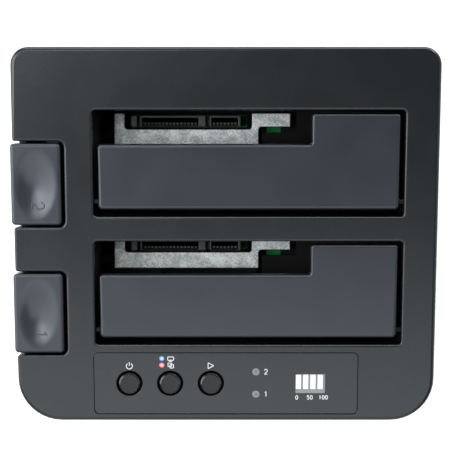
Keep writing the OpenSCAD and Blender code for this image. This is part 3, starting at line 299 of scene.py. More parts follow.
def roundedLoop(corners, step=9):
    # polygon run anticlockwise whose corners (x, y, radius) become arcs no coarser than step degrees;
    # also gives the outward direction at each point
    corners = np.asarray(corners, float)
    spots, radii = corners[:, :2], corners[:, 2]
    along = np.roll(spots, -1, 0) - spots
    along /= np.linalg.norm(along, axis=1)[:, None]
    points, outward = [], []
    for i in range(len(spots)):
        before, after = along[i - 1], along[i]
        turn = math.atan2(before[0] * after[1] - before[1] * after[0], before @ after)
        count = max(3, int(abs(math.degrees(turn)) / step) + 1)
        angle = math.atan2(-before[0], before[1]) + turn * np.linspace(0, 1, count)
        normal = np.stack([np.cos(angle), np.sin(angle)], 1)
        reach = radii[i] * abs(math.tan(turn / 2))
        side = math.copysign(1, turn)
        centre = spots[i] - before * reach + np.array([-before[1], before[0]]) * radii[i] * side
        points.append(centre + normal * radii[i] * side)
        outward.append(normal)
    return np.concatenate(points), np.concatenate(outward)


def circleLoop(x, y, radius, count=48):
    # points at even angles round a circle, and the outward direction at each
    angle = np.linspace(0, 2 * math.pi, count, endpoint=False)
    normal = np.stack([np.cos(angle), np.sin(angle)], 1)
    return np.array([x, y]) + normal * radius, normal


def boxLoop(x0, x1, y0, y1, radius):
    # rectangle with its four corners rounded
    return roundedLoop([(x0, y0, radius), (x1, y0, radius), (x1, y1, radius), (x0, y1, radius)])


def denseLoop(loop, gap):
    # the same loop with points along its straight runs, no more than gap apart
    points, outward = loop
    length = np.linalg.norm(np.roll(points, -1, 0) - points, axis=1)
    counts = np.maximum(1, np.ceil(length / gap).astype(int))
    first = np.repeat(np.arange(len(points)), counts)
    part = np.concatenate([np.arange(n) / n for n in counts])[:, None]
    spots, normal = (a[first] * (1 - part) + a[(first + 1) % len(a)] * part for a in (points, outward))
    return spots, normal / np.linalg.norm(normal, axis=1)[:, None]


def ringAt(loop, inset, height):
    # the loop moved inwards by inset, at a height that may depend on place
    points, outward = loop
    flat = points - outward * np.reshape(inset, (-1, 1))
    high = height(flat[:, 1]) if callable(height) else np.broadcast_to(height, len(flat))
    return np.column_stack([flat, high])


flatStrip = 0.04  # width beside a rounding that keeps the face flat in the shading


def filletRings(loop, radius, height, steps=7, inwards=1):
    # quarter round from a wall (first ring) to a face, then a narrow flat strip; inwards -1 is for the rim
    # of a hole
    rings = []
    for turn in np.linspace(0, math.pi / 2, steps):
        drop = np.asarray(radius * (1 - math.sin(turn)))
        rings.append(ringAt(loop, inwards * np.asarray(radius * (1 - math.cos(turn))),
                            lambda y: height(y) - drop))
    rings.append(ringAt(loop, inwards * (np.asarray(radius) + flatStrip), height))
    return rings


def addFan(shell, loop, tip, upwards):
    # triangles from a loop to one point
    centre = addPoints(shell, [tip])[0]
    nextOne = np.roll(loop, -1)
    fan = np.stack([loop, nextOne, np.full_like(loop, centre)], 1)
    shell["faces"] += (fan if upwards else fan[:, ::-1]).tolist()


def lathe(shell, profile, centre, count, tip=None):
    # profile of (radius, height) turned about an upright axis and closed by a fan at each end, the upper
    # one rising to tip
    profile = np.asarray(profile, float)
    angle = np.linspace(0, 2 * math.pi, count, endpoint=False)
    ring = np.stack([np.cos(angle), np.sin(angle)], 1)
    flat = np.asarray(centre) + profile[:, None, :1] * ring
    rings = np.concatenate([flat, np.broadcast_to(profile[:, 1, None, None], (len(profile), count, 1))], 2)
    index = addRings(shell, rings)
    addFan(shell, index[0], (*centre, profile[0, 1]), False)
    addFan(shell, index[-1], (*centre, profile[-1, 1] if tip is None else tip), True)


def addSolid(shell, rings):
    # rings joined into a body with flat ends
    index = addRings(shell, rings)
    addCap(shell, [index[0]], False)
    addCap(shell, [index[-1]], True)


def makePiece(name, shell, finish, body, replaced=(), tilt=None, sharp=None, inwards=None):
    # shell to a mesh in metres, set in place, dressed and tied to its body; tilt is a place and a lean, sharp
    # the angle of edges left crisp, and replaced names the nodes that it hides
    points = np.concatenate(shell["points"])
    if tilt is not None:
        origin, slope = tilt
        c, s = math.cos(slope), math.sin(slope)
        points = points @ np.array([[1, 0, 0], [0, c, s], [0, -s, c]]) + np.asarray(origin)
    points = (points + [middleShift, 0, 0]) * mm
    mesh = bpy.data.meshes.new(name)
    mesh.from_pydata(points.tolist(), [], shell["faces"])
    mesh.validate()
    mesh.shade_smooth()
    if sharp:
        mesh.set_sharp_from_angle(angle=math.radians(sharp))
    if inwards is not None:
        mesh.attributes.new("inwards", "FLOAT", "POINT").data.foreach_set("value", inwards)
    piece = bpy.data.objects.new(name, mesh)
    bpy.context.scene.collection.objects.link(piece)
    shade = piece.modifiers.new("shade", "WEIGHTED_NORMAL")
    shade.keep_sharp = True
    dress(piece, finish)
    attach(piece, body)
    if replaced:
        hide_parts(*replaced)
    return piece


# The casing: places in millimetres from its own middle, front to the minus side
casing = dict(halfWide=70.5, halfDeep=62.998, rearHigh=64.4, slope=math.radians(9),
              slotLeft=-44.0, slotRight=59.0, slotBack=(42.398, -1.202), slotDeep=35.3,
              keyLeft=-71.3, keyRight=-54.6, keySetback=10.95, keyLong=27.2)
bays = ("rear", "front")
slotBacks = dict(zip(bays, casing["slotBack"]))
leanTan, leanCos = math.tan(casing["slope"]), math.cos(casing["slope"])


def topHeight(y):
    # plane of the sloping top
    return casing["rearHigh"] - (casing["halfDeep"] - y) * leanTan


def topLess(drop):
    # the same plane, lower by drop
    return lambda y: topHeight(y) - drop


def levelAt(height):
    # plane that is level at one height
    return lambda y: np.full_like(y, height)


def wallRings(loop, low, rim, face, steps=7):
    # rings of a wall that rises from low and is rounded into a face
    return [ringAt(loop, 0, low)] + filletRings(loop, rim, face, steps)


def holeRings(loop, rim, face, end, steps=7):
    # rings of an opening, from the rounded rim in a face to the far end of its wall
    return filletRings(loop, rim, face, steps, -1)[::-1] + [ringAt(loop, 0, end)]


coverLook = dict(frontCorner=14.7, rearCorner=6.0, wall=2.4, thick=2.835, split=22.0, pocketDeep=20.8,
                 edge=1.36, keyEdge=0.8, keyZone=(2, 9, 40), keyGap=0.75, keySide=1.1, keyCorner=2.3,
                 mouthCorner=0.9, pocketWall=1.2, slotCorner=1.2, slotRim=0.75, panelRim=0.15, panelDeep=1.52,
                 panelCorner=1.8, keyWell=5.4, seam=0.35)


def coverOutline(inset, look, pockets=True):
    # outline from above, with a bay on the left for each key; inset gives the inner outline of the walls
    wide, deep = casing["halfWide"] - inset, casing["halfDeep"] - inset
    frontCorner, rearCorner = look["frontCorner"] - inset, look["rearCorner"] - inset
    corners = [(-wide, -deep, frontCorner), (wide, -deep, frontCorner),
               (wide, deep, rearCorner), (-wide, deep, rearCorner)]
    wall = look["pocketWall"] if inset else 0
    right = casing["keyRight"] + look["keySide"] + wall
    mouth, inner = look["mouthCorner"], look["keyCorner"]
    for slotBack in casing["slotBack"] if pockets else ():
        back = slotBack - casing["keySetback"] + look["keyGap"] + wall
        front = slotBack - casing["keySetback"] - casing["keyLong"] - look["keyGap"] - wall
        corners += [(-wide, back, mouth), (right, back, inner), (right, front, inner), (-wide, front, mouth)]
    return roundedLoop(corners)


def buildCover(look):
    # upper shell: walls with bays for the keys, rounded into a flat top that is open at the slots;
    # lower band: a closed wall from the seam up to the bays
    upper = newShell()
    cut, under, tray = (topLess(look[k]) for k in ("pocketDeep", "thick", "panelDeep"))
    outline = coverOutline(0, look)
    x, y = outline[0].T
    right, back, front = look["keyZone"]  # from the keys' right side and from the backs of the slots
    nearKeys = (x < casing["keyRight"] + right) & (y < slotBacks["rear"] - back)
    nearKeys &= y > slotBacks["front"] - front
    edge = np.where(nearKeys, look["keyEdge"], look["edge"])
    skin = addRings(upper, wallRings(outline, cut, edge, topHeight))
    holes = []
    for slotBack in casing["slotBack"]:
        mouth = boxLoop(casing["slotLeft"], casing["slotRight"], slotBack - casing["slotDeep"], slotBack,
                        look["slotCorner"])
        holes.append(addRings(upper, holeRings(mouth, look["slotRim"], topHeight, under)))
    middle = panelLook["middle"]
    wide = panelLook["wide"] / 2 + panelLook["gap"]
    deep = (panelLook["deep"] / 2 + panelLook["gap"]) * leanCos
    rim = boxLoop(-wide, wide, middle - deep, middle + deep, look["panelCorner"])
    pocket = addRings(upper, holeRings(rim, look["panelRim"], topHeight, tray))
    addCap(upper, [skin[-1], holes[0][0], holes[1][0], pocket[0]], True)
    wells = []
    for x, y in panelLook["keys"]:
        well = circleLoop(x, middle + y * leanCos, look["keyWell"])
        wells.append(addRings(upper, [ringAt(well, 0, tray), ringAt(well, 0, under)]))
    addCap(upper, [pocket[-1]] + [well[0] for well in wells], True)
    inner = coverOutline(look["wall"], look)
    lining = addRings(upper, [ringAt(inner, 0, under), ringAt(inner, 0, cut)])
    addCap(upper, [lining[0]] + [hole[-1] for hole in holes + wells], False)
    addCap(upper, [skin[0], lining[-1]], False)
    makePiece("coverUpper", upper, "mouldedAbsCasing", "housing", ["top_cover"])
    lower = newShell()
    outline = coverOutline(0, look, pockets=False)
    split, seam, wall = look["split"], look["seam"], look["wall"]
    addRings(lower, [ringAt(outline, seam, split), ringAt(outline, 0, split + seam), ringAt(outline, 0, cut),
                     ringAt(outline, wall, cut), ringAt(outline, wall, split)], aroundRings=True)
    makePiece("coverLower", lower, "mouldedAbsCasing", "housing", sharp=40)


panelLook = dict(wide=89.1, deep=21.4, thick=1.5, corner=1.5, gap=0.2, middle=-49.970, rim=0.16,
                 keys=((-32.7, 0.1), (-18.9, 0.1), (-5.1, 0.1)), keyHole=4.4, keyRim=0.2,
                 modeSpots=((-21.7, 8.8), (-21.7, 6.5)), modeRadius=0.92,
                 driveSpots=((10.15, 4.1), (10.15, -3.8)), driveRadius=1.27,
                 barMiddle=(28.55, -0.15), barHole=(10.2, 6.9), barCorner=0.25, lightRim=0.04)
panelPlace = ((0, panelLook["middle"], topHeight(panelLook["middle"])), casing["slope"])


def buildPanel(look):
    # flat plate with a rounded edge; each opening is a loop of wall between the two faces
    shell = newShell()
    wide, deep, low = look["wide"] / 2, look["deep"] / 2, -look["thick"]
    level = levelAt(0.0)
    edge = boxLoop(-wide, wide, -deep, deep, look["corner"])
    skin = addRings(shell, wallRings(edge, low, look["rim"], level))
    loops = [circleLoop(x, y, look["keyHole"], 72) for x, y in look["keys"]]
    walls = [addRings(shell, holeRings(loop, look["keyRim"], level, low, 5)) for loop in loops]
    loops = [circleLoop(x, y, look["modeRadius"], 32) for x, y in look["modeSpots"]]
    loops += [circleLoop(x, y, look["driveRadius"], 40) for x, y in look["driveSpots"]]
    (x, y), (w, d) = look["barMiddle"], look["barHole"]
    loops.append(boxLoop(x - w / 2, x + w / 2, y - d / 2, y + d / 2, look["barCorner"]))
    walls += [addRings(shell, holeRings(loop, look["lightRim"], level, low, 5)) for loop in loops]
    addCap(shell, [skin[-1]] + [wall[0] for wall in walls], True)
    addCap(shell, [skin[0]] + [wall[-1] for wall in walls], False)
    makePiece("controlPlate", shell, "mouldedAbsPanel", "housing", ["control_panel"], panelPlace)


keyLook = dict(radius=3.52, proud=0.5, bevel=(0.45, 0.32), hollow=0.08, faceThick=0.03, low=-2.7, neck=0.3,
               bevelCurve=((0, 1), (0.03, 0.86), (0.1, 0.78), (0.5, 0.4), (0.9, 0.06), (1, 0)),
               flange=5.2, flangeTop=-2.9, flangeThick=1.0, stem=1.7, stemEnd=-4.9)


def buildKey(name, spot, look):
    # turned profiles: a cap with a bevelled rim and a faintly hollow face, a thin matt disc on that face, and
    # below them a flange with a stem, dressed near black as painted shade so that the gap round the cap reads
    # dark
    radius, top, hollow = look["radius"], look["proud"], look["hollow"]
    across, down = look["bevel"]
    flat = radius - across
    face = [(flat * s, top - hollow * (1 - s * s)) for s in (0.95, 0.85, 0.65, 0.4, 0.15)]
    rim = [(radius - across * a, top - down * b) for a, b in look["bevelCurve"]]
    cap = [(radius, look["low"])] + rim + face
    disc = [(flat, top - hollow * 2)] + [(r, z + look["faceThick"]) for r, z in [(flat, top)] + face]
    flangeLow, neck = look["flangeTop"] - look["flangeThick"], radius - look["neck"]
    foot = [(look["stem"], look["stemEnd"]), (look["stem"], flangeLow), (look["flange"], flangeLow),
            (look["flange"], look["flangeTop"]), (neck, look["flangeTop"]), (neck, look["low"])]
    node = name + "_button"
    parts = (("Cap", cap, "mouldedAbsCaps", [node]), ("Face", disc, "mattAbsFace", ()),
             ("Stem", foot, "innerAbsAndPaintedShade", ()))
    for part, profile, finish, replaced in parts:
        shell = newShell()
        lathe(shell, profile, spot, 64)
        makePiece(name + part, shell, finish, node, replaced, panelPlace, sharp=40)


lensLook = dict(low=-8.1, collarLow=-2.3, collarHigh=-1.52, dome=0.10, sunk=0.05,
                mode=(0.9, 0.1), drive=(1.25, 0.7))


def buildLens(name, node, spot, kind, finish, look):
    # turned light pipe: rod, collar and a low domed end
    radius, collar = look[kind]
    dome = [(radius * math.cos(t), look["dome"] * math.sin(t) - look["sunk"]) for t in np.linspace(0, 1.4, 7)]
    profile = [(radius, look["low"]), (radius, look["collarLow"]), (radius + collar, look["collarLow"]),
               (radius + collar, look["collarHigh"]), (radius, look["collarHigh"])] + dome
    shell = newShell()
    lathe(shell, profile, spot, 40, look["dome"] - look["sunk"])
    far = np.linalg.norm(np.concatenate(shell["points"])[:, :2] - spot, axis=1)
    makePiece(name, shell, finish, "housing", [node], panelPlace, sharp=40,
              inwards=np.clip(1 - far / radius, 0, 1))


flapLook = dict(left=-42.35, right=57.35, front=-2.157, back=29.837, notchX=28.4, notchY=19.510, thick=3.0,
                corner=0.9, frontCorner=1.3, notchFillet=1.2, rim=0.7, frontRim=1.1, frontZone=(2.5, 1.5),
                skinLow=2.1, lap=0.25, underBevel=0.15, sink=0.4, hingeBack=30.4, barrel=2.2, barrelBevel=0.3,
                bore=1.05, springLeft=-38.05, springRight=-30.65, springBack=3.4, springCorner=0.2,
                ribs=(-22.35, 7.5, 36.4), ribHalf=0.8, ribFrom=1.32, ribLong=16.5, ribHigh=2.0, ribIn=0.4,
                ribBevel=0.25, ribCorner=0.5)


def hingePlace(bay):
    # where a flap's hinge line lies, and how it leans
    y = slotBacks[bay] - flapLook["hingeBack"]
    return (0, y, topHeight(y) - (flapLook["sink"] + flapLook["thick"]) / leanCos), casing["slope"]


def buildFlap(bay, look):
    # skin with rounded edges, a lower layer with room for the spring, a hinge barrel in two lengths, and ribs
    left, right, front, back = (look[k] for k in ("left", "right", "front", "back"))
    notch = [(right, back, look["corner"]), (look["notchX"], back, look["corner"]),
             (look["notchX"], look["notchY"], look["notchFillet"]), (left, look["notchY"], look["corner"])]
    frontLeft, frontRight = ((x, front, look["frontCorner"]) for x in (left, right))
    outline = roundedLoop([frontLeft, frontRight] + notch)
    reach, fade = look["frontZone"]
    nearFront = np.clip((front + reach - outline[0][:, 1]) / fade, 0, 1)
    rim = look["rim"] + (look["frontRim"] - look["rim"]) * nearFront
    shell = newShell()
    addSolid(shell, wallRings(outline, look["skinLow"] - look["lap"], rim, levelAt(look["thick"])))
    room = [(x, y, look["springCorner"])
            for x, y in ((look["springLeft"], front), (look["springLeft"], look["springBack"]),
                         (look["springRight"], look["springBack"]), (look["springRight"], front))]
    under = roundedLoop([frontLeft] + room + [frontRight] + notch)
    bevel = look["underBevel"]
    addSolid(shell, [ringAt(under, bevel, 0.0), ringAt(under, 0, bevel), ringAt(under, 0, look["skinLow"])])
    bevel = look["ribBevel"]
    for x in look["ribs"]:
        rib = boxLoop(x - look["ribHalf"], x + look["ribHalf"], look["ribFrom"], look["ribLong"],
                      look["ribCorner"])
        addSolid(shell, [ringAt(rib, bevel, -look["ribHigh"]), ringAt(rib, 0, bevel - look["ribHigh"]),
                         ringAt(rib, 0, look["ribIn"])])
    angle = np.linspace(0, 2 * math.pi, 40, endpoint=False)
    bore, barrel, bevel = look["bore"], look["barrel"], look["barrelBevel"]
    radius = np.array([bore, barrel - bevel, barrel, barrel, barrel - bevel, bore])[:, None]
    for x0, x1 in ((left, look["springLeft"]), (look["springRight"], right)):
        along = np.array([x0, x0, x0 + bevel, x1 - bevel, x1, x1])[:, None]
        tube = np.broadcast_arrays(along, radius * np.cos(angle), radius * np.sin(angle))
        addRings(shell, np.stack(tube, 2), aroundRings=True)
    node = "flap_" + bay
    makePiece(bay + "Flap", shell, "mouldedAbsFlap", node, [node], hingePlace(bay), sharp=50)


pushLook = dict(corner=1.3, edge=1.1, skirt=15.0, skirtBevel=0.25, spacing=0.6, dishRings=40, dishWide=7.3,
                dishLong=12.7, dishDeep=1.75, dishLow=(-0.16, -0.1), digits=dict(rear="2", front="1"),
                digitBead=0.22, digitSpot=(-62.4, -31.7), digitHigh=4.2, digitWide=2.7,
                shroud=(-66.35, -56.0), shroudIn=1.5, shroudWall=1.4, shroudCorner=1.6, shroudUp=3.0,
                shroudDrop=9.0, pillarX=-62.0, pillarBack=24.55, pillarOut=4.0, pillarBore=1.85,
                pillarLow=24.0, boreTop=40.5, boreRoom=0.05, foot=(-62.71, -58.41), footLow=19.6,
                footThick=4.0, footCorner=0.4, legBack=13.0, legLong=5.0, footBack=6.7, bevel=0.3, webIn=0.5,
                webHalf=1.0, webCorner=0.3, webThick=1.0)


def dishDepth(x, y, middle, look):
    # oval hollow with its low point towards the front left: along each ray from the low point the depth
    # falls with the square of the way to the rim, so the near walls are steep and the far ones gentle
    low = np.asarray(look["dishLow"])
    way = np.stack([(x - middle[0]) / look["dishWide"], (y - middle[1]) / look["dishLong"]], -1) - low
    squared = np.maximum((way ** 2).sum(-1), 1e-12)
    across = way @ low
    reach = (np.sqrt(across ** 2 + squared * (1 - low @ low)) - across) / squared
    return look["dishDeep"] * np.clip(1 - 1 / reach ** 2, 0, 1) ** 2


def addSweep(shell, path, section, upright=(0, 0, 1)):
    # a section of (across, up) points carried along a path that never runs upright, closed at both ends
    path, section = np.asarray(path, float), np.asarray(section, float)
    along = np.gradient(path, axis=0)
    along /= np.linalg.norm(along, axis=1)[:, None]
    across = np.cross(along, np.asarray(upright, float))
    across /= np.linalg.norm(across, axis=1)[:, None]
    upward = np.cross(across, along)
    rings = path[:, None] + section[None, :, :1] * across[:, None] + section[None, :, 1:] * upward[:, None]
    index = addRings(shell, rings)
    addFan(shell, index[0], path[0], False)
    addFan(shell, index[-1], path[-1], True)


def roundSection(radius, count):
    # circle of (across, up) points, run the way that turns a swept wall outwards
    turn = np.linspace(0, 2 * math.pi, count, endpoint=False)
    return radius * np.column_stack([np.cos(turn), -np.sin(turn)])


def strokePath(points, bend):
    # corner points joined by straight runs, each in as many steps as bend says, to follow a curved face
    points = np.asarray(points, float)
    steps = np.linspace(0, len(points) - 1, (len(points) - 1) * bend + 1)
    return np.column_stack([np.interp(steps, np.arange(len(points)), points[:, i]) for i in (0, 1)])


def arcOf(x, y, wide, high, start, end, count=16):
    # part of an oval about a middle point, between two angles in degrees
    angle = np.radians(np.linspace(start, end, count))
    return np.column_stack([x + wide * np.cos(angle), y + high * np.sin(angle)])


digits = {  # strokes in a box one high and one wide
    "0": [arcOf(0.5, 0.5, 0.42, 0.5, 90, 450, 25)],
    "1": [[(0.25, 0.78), (0.55, 1.0)], [(0.55, 1.0), (0.55, 0.0)]],
    "2": [np.concatenate([arcOf(0.5, 0.7, 0.42, 0.3, 170, -35), [(0.06, 0.0)]]), [(0.06, 0.0), (0.95, 0.0)]],
    "5": [[(0.9, 1.0), (0.2, 1.0)], [(0.2, 1.0), (0.14, 0.55)], arcOf(0.47, 0.34, 0.42, 0.34, 125, -150)],
}


def buildPush(bay, look):
    # finger key: straight skirt, rounded edge and a soft hollow; a guide box, pillar and foot hang below it
    slotBack = slotBacks[bay]
    back = slotBack - casing["keySetback"]
    front = back - casing["keyLong"]
    middle = np.array([(casing["keyLeft"] + casing["keyRight"]) / 2, (back + front) / 2])
    pillarSpot = (look["pillarX"], slotBack - look["pillarBack"])
    skirt, bevel = look["skirt"], look["skirtBevel"]
    loop = boxLoop(casing["keyLeft"], casing["keyRight"], front, back, look["corner"])
    outline = denseLoop(loop, look["spacing"])
    shell = newShell()
    rings = [ringAt(outline, bevel, topLess(skirt))]
    rings += wallRings(outline, topLess(skirt - bevel), look["edge"], topHeight)
    last = rings[-1][:, :2]
    for scale in np.linspace(1, 0.03, look["dishRings"])[1:]:
        flat = middle + (last - middle) * scale
        rings.append(np.column_stack([flat, topHeight(flat[:, 1]) - dishDepth(*flat.T, middle, look)]))
    index = addRings(shell, rings)
    addFan(shell, index[-1], (*middle, topHeight(middle[1]) - dishDepth(*middle, middle, look)), True)
    bottom = topHeight(middle[1]) - skirt
    under = [index[0]]
    if bottom < look["boreTop"]:  # the low key also needs room for the top of its post
        room = circleLoop(*pillarSpot, look["pillarBore"] + look["boreRoom"])
        wall = addRings(shell, [ringAt(room, 0, look["boreTop"]), ringAt(room, 0, topLess(skirt))])
        addCap(shell, [wall[0]], False)
        under.append(wall[-1])
    addCap(shell, under, False)
    low, high, bevel = bottom - look["shroudDrop"], bottom + look["shroudUp"], look["bevel"]
    box = boxLoop(*look["shroud"], front + look["shroudIn"], back - look["shroudIn"], look["shroudCorner"])
    wall = look["shroudWall"]
    addRings(shell, [ringAt(box, 0, low), ringAt(box, 0, high),
                     ringAt(box, wall, high), ringAt(box, wall, low)], aroundRings=True)
    pillar, pillarLow = circleLoop(*pillarSpot, look["pillarOut"]), look["pillarLow"]
    bore = look["pillarOut"] - look["pillarBore"]
    addRings(shell, [ringAt(pillar, bevel, pillarLow), ringAt(pillar, 0, pillarLow + bevel),
                     ringAt(pillar, 0, high), ringAt(pillar, bore, high), ringAt(pillar, bore, pillarLow)],
             aroundRings=True)
    legFront, footLow = slotBack - look["legBack"] - look["legLong"], look["footLow"]
    for behind, top in ((look["legBack"], high), (look["footBack"], footLow + look["footThick"])):
        leg = boxLoop(*look["foot"], legFront, slotBack - behind, look["footCorner"])
        addSolid(shell, [ringAt(leg, bevel, footLow), ringAt(leg, 0, footLow + bevel), ringAt(leg, 0, top)])
    left, right = look["shroud"]
    web = boxLoop(left + look["webIn"], right - look["webIn"], middle[1] - look["webHalf"],
                  middle[1] + look["webHalf"], look["webCorner"])
    addSolid(shell, [ringAt(web, 0, max(low, look["boreTop"])),
                     ringAt(web, 0, max(high, look["boreTop"] + look["webThick"]))])
    section = roundSection(look["digitBead"], 8)
    x0, y0 = look["digitSpot"]
    for stroke in digits[look["digits"][bay]]:
        u, v = strokePath(stroke, 6 if len(stroke) > 2 else 24).T  # plain lines need more steps than arcs
        x = x0 + (v - 0.5) * look["digitHigh"]
        y = slotBack + y0 - (u - 0.5) * look["digitWide"]
        addSweep(shell, np.column_stack([x, y, topHeight(y) - dishDepth(x, y, middle, look)]), section)
    node = "eject_button_" + bay
    makePiece(bay + "Push", shell, "mouldedAbsKeys", node, [node], sharp=50)


markLook = dict(ink=0.26, thick=0.03, sunk=0.01, power=((-32.7, 6.3), (2.3, 2.3)),
                play=((-5.1, 6.3), (1.9, 2.1)), screen=((-18.7, 8.8), (2.0, 1.15)),
                sheets=((-19.0, 6.62), (-18.35, 6.1)), sheetSize=(1.2, 1.2),
                two=((13.5, 4.2), (1.15, 1.75)), one=((13.5, -3.7), (1.15, 1.75)),
                scale=((24.0, "0"), (28.4, "50"), (33.0, "100")), scaleY=-4.9, scaleSize=(0.85, 1.35),
                scaleStep=1.105)


def buildMarks(look):
    # plain signs in white ink: flat strips on the plate, following lines and arcs
    shell = newShell()
    half = look["ink"] / 2
    section = [(half, look["thick"]), (half, -look["sunk"]), (-half, -look["sunk"]), (-half, look["thick"])]

    def draw(spot, size, strokes):
        for stroke in strokes:
            place = np.asarray(spot) + (strokePath(stroke, 4) - 0.5) * size
            addSweep(shell, np.column_stack([place, np.zeros(len(place))]), section)

    draw(*look["power"], [arcOf(0.5, 0.45, 0.45, 0.45, 125, 415, 28), [(0.5, 0.5), (0.5, 1.05)]])
    draw(*look["play"], [[(0, 0), (0, 1)], [(0, 1), (1, 0.5)], [(1, 0.5), (0, 0)]])
    frameLines = [[(0, 0), (1, 0)], [(1, 0), (1, 1)], [(1, 1), (0, 1)], [(0, 1), (0, 0)]]
    draw(*look["screen"], frameLines + [[(0.2, -0.32), (0.8, -0.32)]])
    for spot in look["sheets"]:
        draw(spot, look["sheetSize"], frameLines)
    draw(*look["two"], digits["2"])
    draw(*look["one"], digits["1"])
    for middle, number in look["scale"]:
        for i, figure in enumerate(number):
            x = middle + (i - (len(number) - 1) / 2) * look["scaleStep"]
            draw((x, look["scaleY"]), look["scaleSize"], digits[figure])
    makePiece("panelMarks", shell, "whiteInk", "housing", (), panelPlace, sharp=30)


def addBlock(shell, loop, low, top, edge, holes=(), end=0.0):
    # upright block with a rounded upper edge and blind holes
    level = levelAt(top)
    skin = addRings(shell, wallRings(loop, low, edge, level, 5))
    walls = [addRings(shell, holeRings(hole, edge, level, end, 5)) for hole in holes]
    addCap(shell, [skin[-1]] + [wall[0] for wall in walls], True)
    addCap(shell, [skin[0]], False)
    for wall in walls:
        addCap(shell, [wall[-1]], True)


connectorLook = dict(bar=(-33.4, 5.2), post=(-33.4, -31.2), blocks=((-30.2, -7.1), (-5.7, 5.2)),
                     mouths=((-29.5, -9.7), (-5.1, 4.2)), mouthDeep=2.6, mouthCorner=0.2, back=3.7,
                     behind=2.2, before=1.75, low=6.6, step=13.5, overlap=0.5, top=20.0, edge=0.22,
                     corner=0.4)


def buildConnector(bay, look):
    # low bar with an end post and two upright blocks, each with a long mouth
    shell = newShell()
    middle = slotBacks[bay] - look["back"]
    sides = (middle - look["before"], middle + look["behind"], look["corner"])
    mouthSides = (middle - look["mouthDeep"] / 2, middle + look["mouthDeep"] / 2, look["mouthCorner"])
    step, top, edge = look["step"], look["top"], look["edge"]
    foot = step - look["overlap"]
    addBlock(shell, boxLoop(*look["bar"], *sides), look["low"], step, edge)
    addBlock(shell, boxLoop(*look["post"], *sides), foot, top, edge)
    for block, mouth in zip(look["blocks"], look["mouths"]):
        addBlock(shell, boxLoop(*block, *sides), foot, top, edge, [boxLoop(*mouth, *mouthSides)], step)
    makePiece(bay + "Connector", shell, "glossResin", "housing", ["sata_connector_" + bay], sharp=40)


contactLook = dict(rows=((-28.49, 15), (-4.26, 7)), pitch=1.27, wide=0.8, thick=0.16,
                   bow=((0.12, 13.5), (0.14, 15.0), (0.3, 16.4), (0.75, 17.6), (1.0, 18.4), (0.85, 19.0),
                        (0.5, 19.4)))


def buildContacts(bay, look):
    # spring blades along the front wall of each mouth: a flat strip carried along a bowed line
    shell = newShell()
    wall = slotBacks[bay] - connectorLook["back"] - connectorLook["mouthDeep"] / 2
    line = np.array(look["bow"])
    half, thin = look["wide"] / 2, look["thick"] / 2
    section = [(thin, half), (thin, -half), (-thin, -half), (-thin, half)]
    for first, count in look["rows"]:
        for i in range(count):
            x = np.full(len(line), first + look["pitch"] * i)
            addSweep(shell, np.column_stack([x, wall + line[:, 0], line[:, 1]]), section, (1, 0, 0))
    makePiece(bay + "Contacts", shell, "goldFlash", "housing", ["sata_contacts_" + bay], sharp=40)


liftLook = dict(left=-39.6, cutLeft=-35.75, cutRight=9.15, riserRight=11.6, armRight=22.8, back=0.7,
                armFront=5.55, cutFront=6.3, front=12.05, corner=0.35, fillet=1.0, top=15.8, thick=1.2,
                edge=0.3, tabs=(-28.0, 6.0), tabHalf=3.0, tabLow=7.0, tabCorner=0.3, tabEdge=0.1)


def buildLift(bay, look):
    # pressed plate with rounded edges, cut out round the connector, and two tabs bent down at its front
    shell = newShell()
    back, armFront, cutFront, front = (
        slotBacks[bay] - look[k] for k in ("back", "armFront", "cutFront", "front"))
    left, cutLeft, cutRight, riserRight, armRight = (
        look[k] for k in ("left", "cutLeft", "cutRight", "riserRight", "armRight"))
    corner, fillet = look["corner"], look["fillet"]
    outline = roundedLoop([(left, front, corner), (riserRight, front, corner), (riserRight, armFront, fillet),
                           (armRight, armFront, corner), (armRight, back, corner), (cutRight, back, corner),
                           (cutRight, cutFront, fillet), (cutLeft, cutFront, fillet), (cutLeft, back, corner),
                           (left, back, corner)])
    low, edge = look["top"] - look["thick"], look["edge"]
    addSolid(shell, [ringAt(outline, edge, low)] + wallRings(outline, low + edge, edge, levelAt(look["top"])))
    for x in look["tabs"]:
        tab = boxLoop(x - look["tabHalf"], x + look["tabHalf"], front, front + look["thick"],
                      look["tabCorner"])
        addBlock(shell, tab, look["tabLow"], low + edge, look["tabEdge"])
    node = "lift_plate_" + bay
    makePiece(bay + "Lift", shell, "galvanisedSteel", node, [node], sharp=50)


shadeSheetLook = dict(sheet=(-46.0, 25.5, 30.0, -0.6), connectorHole=(-33.7, 7.6, 5.7, 1.3),
                armHole=(14.6, 19.6, 8.6, 1.8), thick=0.15, corner=0.5)


def buildPaintedShadeSheet(bay, look):
    # painted shade: a black sheet on the board under a bay, where the board lies only in shadow, open round
    # the connector and beside it; each outline is left, right, and how far its front and back lie before the
    # slot's back
    shell = newShell()
    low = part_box("main_board")[1][2] / mm
    high = low + look["thick"]
    edge, *holes = (boxLoop(left, right, slotBacks[bay] - front, slotBacks[bay] - back, look["corner"])
                    for left, right, front, back in (look["sheet"], look["connectorHole"], look["armHole"]))
    skin = addRings(shell, [ringAt(edge, 0, low), ringAt(edge, 0, high)])
    walls = [addRings(shell, [ringAt(hole, 0, high), ringAt(hole, 0, low)]) for hole in holes]
    addCap(shell, [skin[-1]] + [wall[0] for wall in walls], True)
    addCap(shell, [skin[0]] + [wall[-1] for wall in walls], False)
    makePiece(bay + "BoardShadeSheet", shell, "innerAbsAndPaintedShade", "housing", (), sharp=40)


